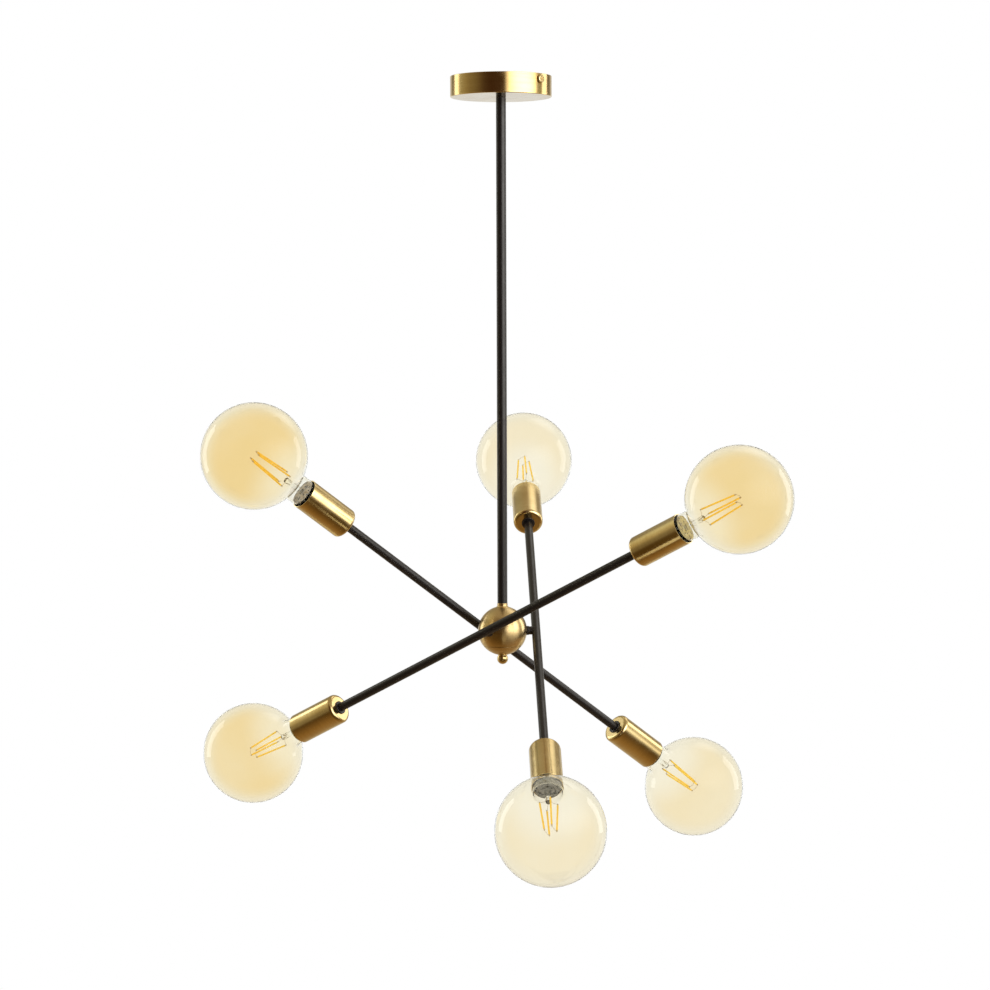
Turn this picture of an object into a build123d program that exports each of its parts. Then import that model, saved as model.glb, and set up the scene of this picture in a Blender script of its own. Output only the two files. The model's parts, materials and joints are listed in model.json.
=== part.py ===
from build123d import *
import os
from math import cos, radians, sin, sqrt

# Six-globe pendant light: canopy, stem, ball hub, and three swivelling arms with a lamp at each end.
# Millimetres, +Z up. The origin is on the ceiling, on the canopy's axis, and the front is -Y.
# A turn is counted in degrees about +Z from the front, positive towards +X.

# Ceiling canopy and its bracket
canopy_radius = 61.0
canopy_height = 25.0
canopy_wall = 1.2
canopy_edge_round = 1.0
bracket_width = 20.0
bracket_thickness = 2.0
bracket_flange_depth = 14.0
ceiling_hole_circle = 70.0
ceiling_hole_radius = 2.6
side_screw_turn = 50.0
side_screw_drop = 7.5
side_screw_radius = 2.0
side_screw_length = 8.0
side_screw_head_radius = 5.0
side_screw_head_height = 2.8
side_screw_head_round = 1.8
earth_screw_place = 21.0
earth_screw_radius = 2.0
earth_screw_head_radius = 3.6
earth_screw_head_height = 2.2
earth_screw_head_round = 0.7
terminal_length = 26.0
terminal_width = 14.0
terminal_height = 7.0
terminal_poles = 3
terminal_bore_radius = 1.6
terminal_bore_depth = 5.0

# Stem, the threaded nipples at its two ends, and the leads inside it
stem_radius = 6.0
stem_wall = 0.95
stem_length = 608.5
nipple_wall = 1.2
nipple_grip = 15.0
nipple_end = 2.0
canopy_nut_wall = 2.0
canopy_nut_height = 4.5
canopy_washer_rim = 4.0
canopy_washer_thickness = 1.0
lead_radius = 1.0
lead_ring = 1.4

# Ball hub, its cap and finial
ball_radius = 29.6
ball_wall = 4.4
neck_margin = 0.3
neck_rise = 3.4
neck_round = 2.5
cap_height = 11.0
cap_rim = 3.2
cap_lip_depth = 4.0
finial_collar_radius = 5.5
finial_collar_height = 0.7
finial_ball_radius = 6.6
finial_waist_radius = 5.2
finial_stud_radius = 3.0
finial_stud_length = 6.0
connector_radius = 8.0
connector_height = 10.0

# Swivels that carry the arms on the ball, and the leads through them
arm_turns = {"front": -33.0, "right": 92.0, "rear": 213.5}
arm_tilts = {"front": 25.2, "right": 31.5, "rear": 33.8}
arm_lead_radius = 0.8
arm_lead_gap = 0.15
arm_lead_room = 0.35
spigot_wall = 1.45
spigot_end = 1.0
sleeve_wall = 1.0
sleeve_step = 0.5
sleeve_length = 2.769
sleeve_shank_proud = 1.2
spot_margin = 0.5
friction_washer_thickness = 0.5
boss_wall = 1.0
boss_length = 2.9
swivel_nut_wall = 2.05
swivel_nut_height = 4.0

# Arms, and the cups at their ends
arm_radius = 5.25
arm_wall = 1.0
arm_reach = 235.0
arm_thread = 11.0
collar_width = 3.0
collar_thickness = 1.4
collar_edge = 0.4
cup_length = 68.0
cup_wall = 1.0
cup_end_round = 4.5

# Lampholders
socket_depth = 35.0
holder_gap = 1.2
holder_floor = 3.0
holder_wall = 2.0
holder_lip = 1.5
holder_chamber_radius = 10.0
shell_wall = 0.7
shell_length = 26.0
contact_radius = 4.0
contact_height = 3.0

# Globe bulbs
globe_radius = 62.5
glass_wall = 0.9
bulb_neck_gap = 0.7
bulb_neck_length = 9.9
bulb_neck_round = 12.0
bulb_flare_length = 7.2
screw_cap_radius = 13.2
screw_cap_length = 26.5
screw_cap_wall = 0.7
tip_radius = 4.8
tip_height = 1.5
insulator_height = 4.0
glass_seat = 8.5
bulb_stem_radius = 4.0
bulb_stem_length = 36.0
bulb_stem_flare = 10.0
filament_count = 4
filament_turns = {"front": 22.5, "right": 9.0, "rear": 19.0}
filament_radius = 1.0
filament_length = 50.0
filament_base_ring = 10.5
filament_tip_ring = 7.0
filament_wire_radius = 0.5
filament_wire_start = 1.5

# Clearances, and how far a cut runs past the face that it opens
cut_overrun = 1.0
fit_clearance = 0.05
running_clearance = 0.05
face_clearance = 0.05
hole_clearance = 0.2
thread_clearance = 0.35

# Heights, from the ceiling down
canopy_floor = -canopy_height + canopy_wall
hub_height = -canopy_height - stem_length - neck_rise - ball_radius
neck_top = hub_height + ball_radius + neck_rise
washer_top = canopy_floor + canopy_washer_thickness

# Radii of the stem, its nipples and the hub's openings
nipple_radius = stem_radius - stem_wall - fit_clearance
nipple_bore_radius = nipple_radius - nipple_wall
neck_radius = stem_radius + neck_margin
cap_level = ball_radius - cap_height
cap_lip_radius = sqrt(ball_radius**2 - cap_level**2) - cap_rim
cap_land = sqrt(ball_radius**2 - finial_collar_radius**2)

# Radii of a swivel, from its leads outwards
arm_lead_spread = arm_lead_radius + arm_lead_gap
spigot_bore_radius = sqrt(2) * arm_lead_spread + arm_lead_radius + arm_lead_room
spigot_radius = spigot_bore_radius + spigot_wall
swivel_bore_radius = spigot_radius + running_clearance
sleeve_shank_radius = swivel_bore_radius + sleeve_wall
sleeve_radius = sleeve_shank_radius + sleeve_step
boss_radius = swivel_bore_radius + boss_wall
spot_radius = sleeve_radius + spot_margin

# Distances from the hub's centre along a swivel
spot_level = sqrt(ball_radius**2 - spot_radius**2)
sleeve_face = spot_level + sleeve_length
sleeve_inner_end = ball_radius - ball_wall - sleeve_shank_proud
washer_seat = sleeve_face + face_clearance
boss_face = washer_seat + friction_washer_thickness + face_clearance
arm_offset = boss_face + boss_length + arm_radius
nut_face = sleeve_inner_end - 2 * face_clearance
nut_back = nut_face - swivel_nut_height
spigot_inner_end = nut_back - spigot_end

# Radii of a lamp, from the bulb's screw cap outwards
glass_base_radius = screw_cap_radius - screw_cap_wall - hole_clearance
shell_bore_radius = screw_cap_radius + thread_clearance
shell_radius = shell_bore_radius + shell_wall
holder_bore_radius = shell_radius + fit_clearance
holder_radius = holder_bore_radius + holder_wall
cup_bore_radius = holder_radius + holder_gap
cup_radius = cup_bore_radius + cup_wall
bulb_neck_radius = cup_bore_radius - bulb_neck_gap

# Distances from an arm's middle along it
holder_back = arm_reach + cup_wall
arm_end = holder_back + arm_thread
cup_mouth = arm_reach + cup_length
socket_floor = cup_mouth - socket_depth
bulb_tip = socket_floor + contact_height
screw_cap_end = bulb_tip + screw_cap_length
holder_mouth = screw_cap_end + holder_lip
glass_base = screw_cap_end - glass_seat
flare_start = screw_cap_end + hole_clearance
flare_end = flare_start + bulb_flare_length
blend_start = flare_end + bulb_neck_length
blend_reach = bulb_neck_radius + bulb_neck_round
globe_centre = blend_start + sqrt((globe_radius + bulb_neck_round) ** 2 - blend_reach**2)
stem_head = screw_cap_end + bulb_stem_length
filament_tip = stem_head + filament_length

UPRIGHT = (Align.CENTER, Align.CENTER, Align.MIN)


def rod(radius, low, high):
    """A cylinder on the Z axis between two heights."""
    return Pos(0, 0, low) * Cylinder(radius, high - low, align=UPRIGHT)


def tube(radius, bore, low, high):
    """A rod with a bore right through it."""
    return rod(radius, low, high) - rod(bore, low - cut_overrun, high + cut_overrun)


def hex_nut(half_width, bore, low, high):
    """A hexagonal nut on the Z axis, of the given half width across its flats."""
    blank = extrude(RegularPolygon(half_width, 6, major_radius=False), high - low)
    return Pos(0, 0, low) * blank - rod(bore, low - cut_overrun, high + cut_overrun)


def lengthwise(shape):
    """Lays a piece made on the Z axis along +X."""
    return Rot(0, 90, 0) * shape


def turned(edges):
    """A solid of revolution about Z from a closed outline in the XZ plane."""
    return revolve(make_face(edges), Axis.Z)


def outline(*points):
    """A closed polygon of (radius, height) points in the XZ plane."""
    corners = [(radius, 0, height) for radius, height in points]
    return Polyline(*corners, close=True)


def strap_frame():
    """The bracket's frame: +X runs along the strap, towards the side screw that shows."""
    return Rot(0, 0, side_screw_turn - 90)


def stub_direction(name):
    """The outward direction of an arm's swivel."""
    turn = radians(arm_turns[name])
    return Vector(sin(turn), -cos(turn), 0)


def swivel_frame(name):
    """Frame at the hub's centre with +Z outward along an arm's swivel."""
    return Plane((0, 0, hub_height), x_dir=(0, 0, 1), z_dir=stub_direction(name)).location


def arm_frame(name):
    """Frame at an arm's middle: +X along the arm to its high end, +Z outward along its swivel."""
    turn, tilt = radians(arm_turns[name]), radians(arm_tilts[name])
    along = Vector(cos(turn) * cos(tilt), sin(turn) * cos(tilt), sin(tilt))
    middle = stub_direction(name) * arm_offset + Vector(0, 0, hub_height)
    return Plane(middle, x_dir=along, z_dir=stub_direction(name)).location


def both_ends(pieces):
    """Pieces of an arm's high end, and their copies at its low end."""
    return pieces + [Rot(0, 0, 180) * piece for piece in pieces]


def bracket_reach():
    """Half the strap's length: its flanges stand against the canopy's wall."""
    return sqrt((canopy_radius - canopy_wall) ** 2 - (bracket_width / 2) ** 2) - hole_clearance


def ceiling_bracket():
    """Strap against the ceiling, with an end flange for each side screw."""
    reach = bracket_reach()
    blank = Box(2 * reach, bracket_width, bracket_flange_depth, align=(Align.CENTER, Align.CENTER, Align.MAX))
    bends = blank.edges().filter_by(Axis.Y).group_by(Axis.Z)[-1]
    blank = fillet(bends, bracket_thickness)
    inside = Box(2 * (reach - bracket_thickness), bracket_width + cut_overrun, bracket_flange_depth,
                 align=(Align.CENTER, Align.CENTER, Align.MAX))
    strap = blank - Pos(0, 0, -bracket_thickness) * inside
    hole = rod(ceiling_hole_radius, -bracket_thickness - cut_overrun, cut_overrun)
    for side in (-1, 1):
        strap -= Pos(side * ceiling_hole_circle / 2, 0, 0) * hole
    earth_hole = rod(earth_screw_radius + fit_clearance, -bracket_thickness - cut_overrun, cut_overrun)
    strap -= Pos(-earth_screw_place, 0, 0) * earth_hole
    far = reach + cut_overrun
    screw_hole = lengthwise(rod(side_screw_radius + fit_clearance, -far, far))
    strap -= Pos(0, 0, -side_screw_drop) * screw_hole
    return strap_frame() * strap


def earth_screw():
    """Pan-head screw through the strap, with its head below."""
    head_top = -bracket_thickness
    head = rod(earth_screw_head_radius, head_top - earth_screw_head_height, head_top)
    head = fillet(head.edges().group_by(Axis.Z)[0], earth_screw_head_round)
    screw = head + rod(earth_screw_radius, head_top, 0)
    return strap_frame() * Pos(-earth_screw_place, 0, 0) * screw


def terminal_block():
    """Block under the strap with a row of wire entries on each long side."""
    block = Pos(0, 0, -bracket_thickness) * Box(terminal_length, terminal_width, terminal_height,
                                                align=(Align.CENTER, Align.CENTER, Align.MAX))
    pitch = terminal_length / terminal_poles
    entry = Rot(90, 0, 0) * rod(terminal_bore_radius, 0, 2 * terminal_bore_depth)
    for pole in range(terminal_poles):
        place = (pole - (terminal_poles - 1) / 2) * pitch
        for side in (-1, 1):
            middle = side * (terminal_width / 2) + terminal_bore_depth
            block -= Pos(place, middle, -bracket_thickness - terminal_height / 2) * entry
    return strap_frame() * block


def canopy():
    """Round cup, open against the ceiling, with the stem's hole and two side screw holes."""
    outside = rod(canopy_radius, -canopy_height, 0)
    outside = fillet(outside.edges().group_by(Axis.Z)[0], canopy_edge_round)
    cup = outside - rod(canopy_radius - canopy_wall, canopy_floor, cut_overrun)
    cup -= rod(nipple_radius + hole_clearance, -canopy_height - cut_overrun, canopy_floor + cut_overrun)
    far = canopy_radius + cut_overrun
    screw_hole = lengthwise(rod(side_screw_radius + hole_clearance, -far, far))
    return cup - strap_frame() * Pos(0, 0, -side_screw_drop) * screw_hole


def side_screw():
    """Screw with a domed round head outside the canopy, pointing inwards along -X."""
    seat = canopy_radius + face_clearance
    head = rod(side_screw_head_radius, seat, seat + side_screw_head_height)
    head = fillet(head.edges().group_by(Axis.Z)[-1], side_screw_head_round)
    screw = head + rod(side_screw_radius, seat - side_screw_length, seat)
    return Pos(0, 0, -side_screw_drop) * lengthwise(screw)


def canopy_screws():
    """The two side screws, opposite each other."""
    screw = side_screw()
    return Compound(children=[strap_frame() * screw, strap_frame() * Rot(0, 0, 180) * screw])


def canopy_nut():
    """Washer and hexagonal nut that hold the upper nipple in the canopy."""
    bore = nipple_radius + fit_clearance
    washer = tube(nipple_radius + canopy_washer_rim, bore, canopy_floor, washer_top)
    nut = hex_nut(nipple_radius + canopy_nut_wall, bore, washer_top, washer_top + canopy_nut_height)
    return Compound(children=[washer, nut])


def stem_nipples():
    """Threaded nipples: canopy to stem, and stem to hub."""
    top = washer_top + canopy_nut_height + nipple_end
    upper = tube(nipple_radius, nipple_bore_radius, -canopy_height - nipple_grip, top)
    inside_hub = hub_height + ball_radius - ball_wall - nipple_end
    lower = tube(nipple_radius, nipple_bore_radius, inside_hub, neck_top + nipple_grip)
    return Compound(children=[upper, lower])


def stem_tube():
    """The straight tube from the canopy to the hub's neck."""
    return tube(stem_radius, nipple_radius + fit_clearance, neck_top, -canopy_height)


def stem_leads():
    """Three insulated leads from the terminal block down to the connector in the hub."""
    low = hub_height + connector_height / 2
    high = -bracket_thickness - terminal_height
    lead = Pos(lead_ring, 0, 0) * rod(lead_radius, low, high)
    step = 360 / terminal_poles
    return Compound(children=[Rot(0, 0, step * pole) * lead for pole in range(terminal_poles)])


def hub_ball():
    """Hollow ball with a neck above, an opening below, and a flat and a hole for each swivel."""
    ball = Sphere(ball_radius) + rod(neck_radius, 0, ball_radius + neck_rise)
    joint = [edge for edge in ball.edges().filter_by(GeomType.CIRCLE)
             if abs(edge.radius - neck_radius) < 0.01 and edge.center().Z < ball_radius]
    ball = fillet(joint, neck_round)
    ball -= Sphere(ball_radius - ball_wall)
    ball -= rod(nipple_radius + fit_clearance, 0, ball_radius + neck_rise + cut_overrun)
    far = ball_radius + cut_overrun
    ball -= rod(far, -far, -cap_level)
    ball -= rod(cap_lip_radius + fit_clearance, -far, -cap_level + cap_lip_depth)
    ball = Pos(0, 0, hub_height) * ball
    for name in arm_turns:
        flat = rod(spot_radius, spot_level, far)
        hole = rod(sleeve_shank_radius + fit_clearance, connector_radius, far)
        ball -= swivel_frame(name) * (flat + hole)
    return ball


def hub_cap():
    """Lower slice of the ball with a lip that screws into it and a flat for the finial."""
    far = ball_radius + cut_overrun
    slice_below = Sphere(ball_radius) & rod(far, -cap_land, -cap_level - face_clearance)
    lip = rod(cap_lip_radius, -cap_level - face_clearance, -cap_level + cap_lip_depth - face_clearance)
    stud_hole = rod(finial_stud_radius + fit_clearance, -far, 0)
    return Pos(0, 0, hub_height) * (slice_below + lip - stud_hole)


def finial():
    """Collar and small ball under the cap, on a stud that screws into it."""
    top = -cap_land - face_clearance
    collar_foot = top - finial_collar_height
    drop = sqrt(finial_ball_radius**2 - finial_waist_radius**2)
    knob = Pos(0, 0, collar_foot - drop) * Sphere(finial_ball_radius)
    knob -= rod(finial_ball_radius + cut_overrun, collar_foot, top + finial_ball_radius)
    collar = rod(finial_collar_radius, collar_foot, top)
    stud = rod(finial_stud_radius, top, top + finial_stud_length)
    return Pos(0, 0, hub_height) * (knob + collar + stud)


def hub_connector():
    """Round connector at the hub's centre where the leads meet."""
    half = connector_height / 2
    return Pos(0, 0, hub_height) * rod(connector_radius, -half, half)


def swivel_sleeve(name):
    """Fixed half of an arm's swivel: shoulder on the ball's flat, shank through the ball's wall."""
    shoulder = tube(sleeve_radius, swivel_bore_radius, spot_level, sleeve_face)
    shank = tube(sleeve_shank_radius, swivel_bore_radius, sleeve_inner_end, spot_level)
    return swivel_frame(name) * (shoulder + shank)


def friction_washer(name):
    """Thin washer between a sleeve and the arm's boss."""
    washer_face = washer_seat + friction_washer_thickness
    return swivel_frame(name) * tube(boss_radius, swivel_bore_radius, washer_seat, washer_face)


def arm_swivel():
    """Boss brazed to the arm's side, with a hollow spigot that turns in the sleeve (arm frame)."""
    boss = rod(boss_radius, boss_face - arm_offset, 0)
    far = boss_radius + cut_overrun
    boss -= lengthwise(rod(arm_radius + fit_clearance, -far, far))
    spigot = rod(spigot_radius, spigot_inner_end - arm_offset, boss_face - arm_offset)
    return boss + spigot - rod(spigot_bore_radius, -arm_offset, 0)


def swivel_nut():
    """Nut on the spigot's inner end that holds the arm on the ball (arm frame)."""
    half_width = spigot_radius + swivel_nut_wall
    return hex_nut(half_width, spigot_radius + fit_clearance, nut_back - arm_offset, nut_face - arm_offset)


def arm_tube():
    """Straight tube through both cups' ends, with a side hole for the leads (arm frame)."""
    body = lengthwise(tube(arm_radius, arm_radius - arm_wall, -arm_end, arm_end))
    return body - rod(spigot_bore_radius, -arm_radius - cut_overrun, 0)


def arm_leads():
    """Two leads to each lampholder, from the hub through the spigot and along the arm (arm frame)."""
    start = connector_radius + face_clearance - arm_offset
    leads = []
    for side in (-arm_lead_spread, arm_lead_spread):
        hub_end, corner = (arm_lead_spread, side, start), (arm_lead_spread, side, 0)
        route = FilletPolyline(hub_end, corner, (socket_floor, side, 0), radius=arm_radius)
        section = Plane(route @ 0, z_dir=route % 0) * Circle(arm_lead_radius)
        leads.append(sweep(section, path=route))
    return both_ends(leads)


def cup_collar():
    """Thin ring on the arm that a cup's closed end stands against (arm frame)."""
    ring = rod(arm_radius + collar_width, arm_reach - collar_thickness, arm_reach)
    ring = chamfer(ring.edges().group_by(Axis.Z)[0], collar_edge)
    return lengthwise(ring - rod(arm_radius + fit_clearance, 0, arm_reach + cut_overrun))


def lamp_cup():
    """Brass cup: closed end with a rounded edge round the arm, open towards the globe (arm frame)."""
    outside = rod(cup_radius, arm_reach, cup_mouth)
    outside = fillet(outside.edges().group_by(Axis.Z)[0], cup_end_round)
    inside = rod(cup_bore_radius, holder_back, cup_mouth + cut_overrun)
    inside = fillet(inside.edges().group_by(Axis.Z)[0], cup_end_round - cup_wall)
    return lengthwise(outside - inside - rod(arm_radius + fit_clearance, 0, holder_back + cut_overrun))


def lampholder():
    """Holder body on the arm's threaded end, with a wiring chamber and a socket (arm frame)."""
    body = rod(holder_radius, holder_back, holder_mouth)
    body = fillet(body.edges().group_by(Axis.Z)[0], cup_end_round - cup_wall)
    body -= rod(arm_radius + fit_clearance, 0, arm_end + fit_clearance)
    body -= rod(holder_chamber_radius, arm_end, socket_floor - holder_floor)
    body -= rod(spigot_bore_radius, holder_back, socket_floor)
    return lengthwise(body - rod(holder_bore_radius, socket_floor, holder_mouth + cut_overrun))


def screw_shell():
    """Metal sleeve of a socket, and its centre contact (arm frame)."""
    sleeve = tube(shell_radius, shell_bore_radius, socket_floor, socket_floor + shell_length)
    contact = rod(contact_radius, socket_floor, bulb_tip - face_clearance)
    return [lengthwise(sleeve), lengthwise(contact)]


def bulb_cap():
    """Screw cap of a bulb: contact tip, insulator cone and metal sleeve (arm frame)."""
    cone_foot = bulb_tip + tip_height
    cone_top = cone_foot + insulator_height
    bore = screw_cap_radius - screw_cap_wall
    profile = outline(
        (0, bulb_tip), (tip_radius, bulb_tip), (tip_radius, cone_foot), (screw_cap_radius, cone_top),
        (screw_cap_radius, screw_cap_end), (bore, screw_cap_end), (bore, cone_top + tip_height),
        (0, cone_top + tip_height))
    return lengthwise(turned(profile))


def glass_side(inset):
    """One side of a bulb's glass, as edges from its base to the far pole, set in from the outside."""
    sphere, neck, blend = globe_radius - inset, bulb_neck_radius - inset, bulb_neck_round + inset
    base = glass_base_radius - inset
    centre = Vector(0, 0, globe_centre)
    blend_centre = Vector(neck + blend, 0, blend_start)
    towards_globe = (centre - blend_centre).normalized()
    meet = blend_centre + towards_globe * blend
    blend_mid = blend_centre + (towards_globe + Vector(-1, 0, 0)).normalized() * blend
    globe_side = centre + Vector(sphere, 0, 0)
    foot = Polyline(
        (base, 0, glass_base), (base, 0, flare_start), (neck, 0, flare_end), (neck, 0, blend_start))
    blend_arc = ThreePointArc(foot @ 1, blend_mid, meet)
    globe_arc = ThreePointArc(meet, globe_side, centre + Vector(0, 0, sphere))
    return foot.edges() + [blend_arc, globe_arc]


def bulb_globe():
    """Thin blown glass: neck in the screw cap, flare, and a globe (arm frame)."""
    outer, inner = glass_side(0), glass_side(glass_wall)
    base = Line(outer[0] @ 0, inner[0] @ 0)
    pole = Line(outer[-1] @ 1, inner[-1] @ 1)
    return lengthwise(turned(outer + inner + [base, pole]))


def bulb_stem():
    """Clear glass stem: flared foot in the neck, and a slim pillar that holds the filaments (arm frame)."""
    foot_radius = glass_base_radius - glass_wall - hole_clearance
    profile = outline(
        (0, glass_base), (foot_radius, glass_base), (foot_radius, glass_base + glass_wall),
        (bulb_stem_radius, glass_base + bulb_stem_flare), (bulb_stem_radius, stem_head), (0, stem_head))
    return lengthwise(turned(profile))


def filament():
    """One filament rod leaning towards the bulb's axis, with the wire that joins it to the stem."""
    wire_height = stem_head + face_clearance + filament_wire_radius
    low = Vector(filament_base_ring, 0, wire_height)
    high = Vector(filament_tip_ring, 0, filament_tip)
    stick = Plane(low, z_dir=high - low).location * rod(filament_radius, 0, (high - low).length)
    wire = Pos(filament_wire_start, 0, wire_height) * lengthwise(
        rod(filament_wire_radius, 0, filament_base_ring - filament_wire_start))
    return stick + wire


def filaments(turn):
    """The filaments of one bulb, evenly round its axis from a turn on (arm frame)."""
    step = 360 / filament_count
    return [lengthwise(Rot(0, 0, step * place + turn) * filament()) for place in range(filament_count)]


def filament_pair(name):
    """The filaments of an arm's two bulbs, the low one's mirrored from the high one's (arm frame)."""
    low = [Rot(0, 0, 180) * piece for piece in filaments(-filament_turns[name])]
    return filaments(filament_turns[name]) + low


def arm_nodes(name):
    """Every node of one arm, by name."""
    frame = arm_frame(name)
    low_end = Rot(0, 0, 180)
    nodes = {
        f"{name}_arm_tube": frame * arm_tube(),
        f"{name}_arm_swivel": frame * arm_swivel(),
        f"{name}_swivel_nut": frame * swivel_nut(),
    }
    groups = {
        "arm_leads": arm_leads(),
        "cup_collars": both_ends([cup_collar()]),
        "lampholders": both_ends([lampholder()]),
        "screw_shells": both_ends(screw_shell()),
        "bulb_stems": both_ends([bulb_stem()]),
        "filaments": filament_pair(name),
    }
    for group, pieces in groups.items():
        nodes[f"{name}_{group}"] = Compound(children=[frame * piece for piece in pieces])
    for piece, shape in (("cup", lamp_cup()), ("bulb_cap", bulb_cap()), ("globe", bulb_globe())):
        nodes[f"{name}_high_{piece}"] = frame * shape
        nodes[f"{name}_low_{piece}"] = frame * low_end * shape
    return nodes


def hub_nodes():
    """Every node that hangs still from the ceiling, by name."""
    return {
        "ceiling_bracket": ceiling_bracket(),
        "earth_screw": earth_screw(),
        "terminal_block": terminal_block(),
        "canopy": canopy(),
        "canopy_screws": canopy_screws(),
        "canopy_nut": canopy_nut(),
        "stem_nipples": stem_nipples(),
        "stem_tube": stem_tube(),
        "stem_leads": stem_leads(),
        "hub_ball": hub_ball(),
        "hub_cap": hub_cap(),
        "finial": finial(),
        "hub_connector": hub_connector(),
        "swivel_sleeves": Compound(children=[swivel_sleeve(name) for name in arm_turns]),
        "friction_washers": Compound(children=[friction_washer(name) for name in arm_turns]),
    }


os.makedirs("parts", exist_ok=True)
all_nodes = hub_nodes()
for arm_name in arm_turns:
    all_nodes.update(arm_nodes(arm_name))
for node_name, node_shape in all_nodes.items():
    export_step(node_shape, f"parts/{node_name}.step")
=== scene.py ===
"""The looks of a pendant light: three swivelling arms on a ball hub, with a globe bulb at each arm end.

Everything is in metres with +Z up. The plane z = 0 is the ceiling, and the photograph looks along +Y.
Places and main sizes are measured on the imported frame, and the fields of the classes hold the walls,
rounds and small details that go with them.
"""

import json
import logging
from abc import ABC, abstractmethod
from collections.abc import Callable, Sequence
from dataclasses import dataclass, replace
from enum import Enum
from functools import cache
from math import acos, atan2, ceil, cos, degrees, inf, pi, radians, sin, sqrt, tan

import bpy
import numpy as np
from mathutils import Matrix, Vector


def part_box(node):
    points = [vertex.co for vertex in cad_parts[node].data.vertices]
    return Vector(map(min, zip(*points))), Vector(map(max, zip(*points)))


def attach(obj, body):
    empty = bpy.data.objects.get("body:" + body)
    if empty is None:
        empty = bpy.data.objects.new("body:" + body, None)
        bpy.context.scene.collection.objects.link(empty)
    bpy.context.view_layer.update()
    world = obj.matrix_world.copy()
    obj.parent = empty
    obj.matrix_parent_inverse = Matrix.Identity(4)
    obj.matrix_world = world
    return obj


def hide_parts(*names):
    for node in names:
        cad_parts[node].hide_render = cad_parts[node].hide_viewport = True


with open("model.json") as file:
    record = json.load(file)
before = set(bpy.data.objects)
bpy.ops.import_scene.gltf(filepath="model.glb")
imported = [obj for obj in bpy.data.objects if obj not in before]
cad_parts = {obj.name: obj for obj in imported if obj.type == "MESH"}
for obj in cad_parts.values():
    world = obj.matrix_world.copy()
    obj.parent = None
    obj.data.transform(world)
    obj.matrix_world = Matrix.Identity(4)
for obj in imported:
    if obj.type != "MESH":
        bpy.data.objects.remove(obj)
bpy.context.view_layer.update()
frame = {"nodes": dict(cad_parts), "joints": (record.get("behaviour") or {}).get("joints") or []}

Array = np.ndarray
Colour = tuple[float, float, float]
Socket = bpy.types.NodeSocket
LOG = logging.getLogger("pendant")

# Rounds on the edges of pieces
HAIR_EDGE = 0.0001
FINE_EDGE = 0.0002
SOFT_EDGE = 0.0003
WIDE_EDGE = 0.0004

# Points closer than the first are one, and a section that comes closer than the second reaches the spindle
SAME_POINT = 1e-7
ON_SPINDLE = 1e-9

# The turn between the points of a bend, and the places of extra points beside an edge
BEND_STEP = radians(15.0)
EDGE_STEPS = np.array([0.0004, 0.0012, 0.003])

# The length over which an edge's wear fades, and the round from which on an edge doesn't wear
WEAR_FADE = 0.0008
UNWORN_ROUND = 0.0016

# The radius of the circle that stands for a turn in patterns, and the room round a stub for its own pieces
LATHE_RADIUS = 0.01
STUB_ROOM = 0.009


class Slot(Enum):
    """The record's material slots."""

    BRASS = "satin_brass"
    BLACK = "black_satin"
    ZINC = "zinc_steel"
    NICKEL = "nickel"
    WHITE = "white_plastic"
    LEAD = "lead_insulation"
    HOLDER = "holder_plastic"
    CLEAR = "clear_glass"
    AMBER = "amber_glass"
    FILAMENT = "filament"


class ArmSide(Enum):
    """The three arms, named by the side of the hub that they swivel on."""

    FRONT = "front"
    RIGHT = "right"
    REAR = "rear"


class End(Enum):
    """The two ends of an arm."""

    HIGH = "high"
    LOW = "low"


def smooth_step(low: float, high: float, value: Array) -> Array:
    """0 up to `low`, 1 from `high` on, and a smooth S between them."""
    part = np.clip((value - low) / (high - low), 0.0, 1.0)
    return part * part * (3.0 - 2.0 * part)


def node_points(node: str) -> Array:
    """The vertices of a CAD node, one row each."""
    mesh = frame["nodes"][node].data
    flat = np.empty(len(mesh.vertices) * 3)
    mesh.vertices.foreach_get("co", flat)
    return flat.reshape(-1, 3)


@dataclass(frozen=True)
class Span:
    """How far a node reaches along a spindle and how far out from it."""

    low: float
    high: float
    outer: float


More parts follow.
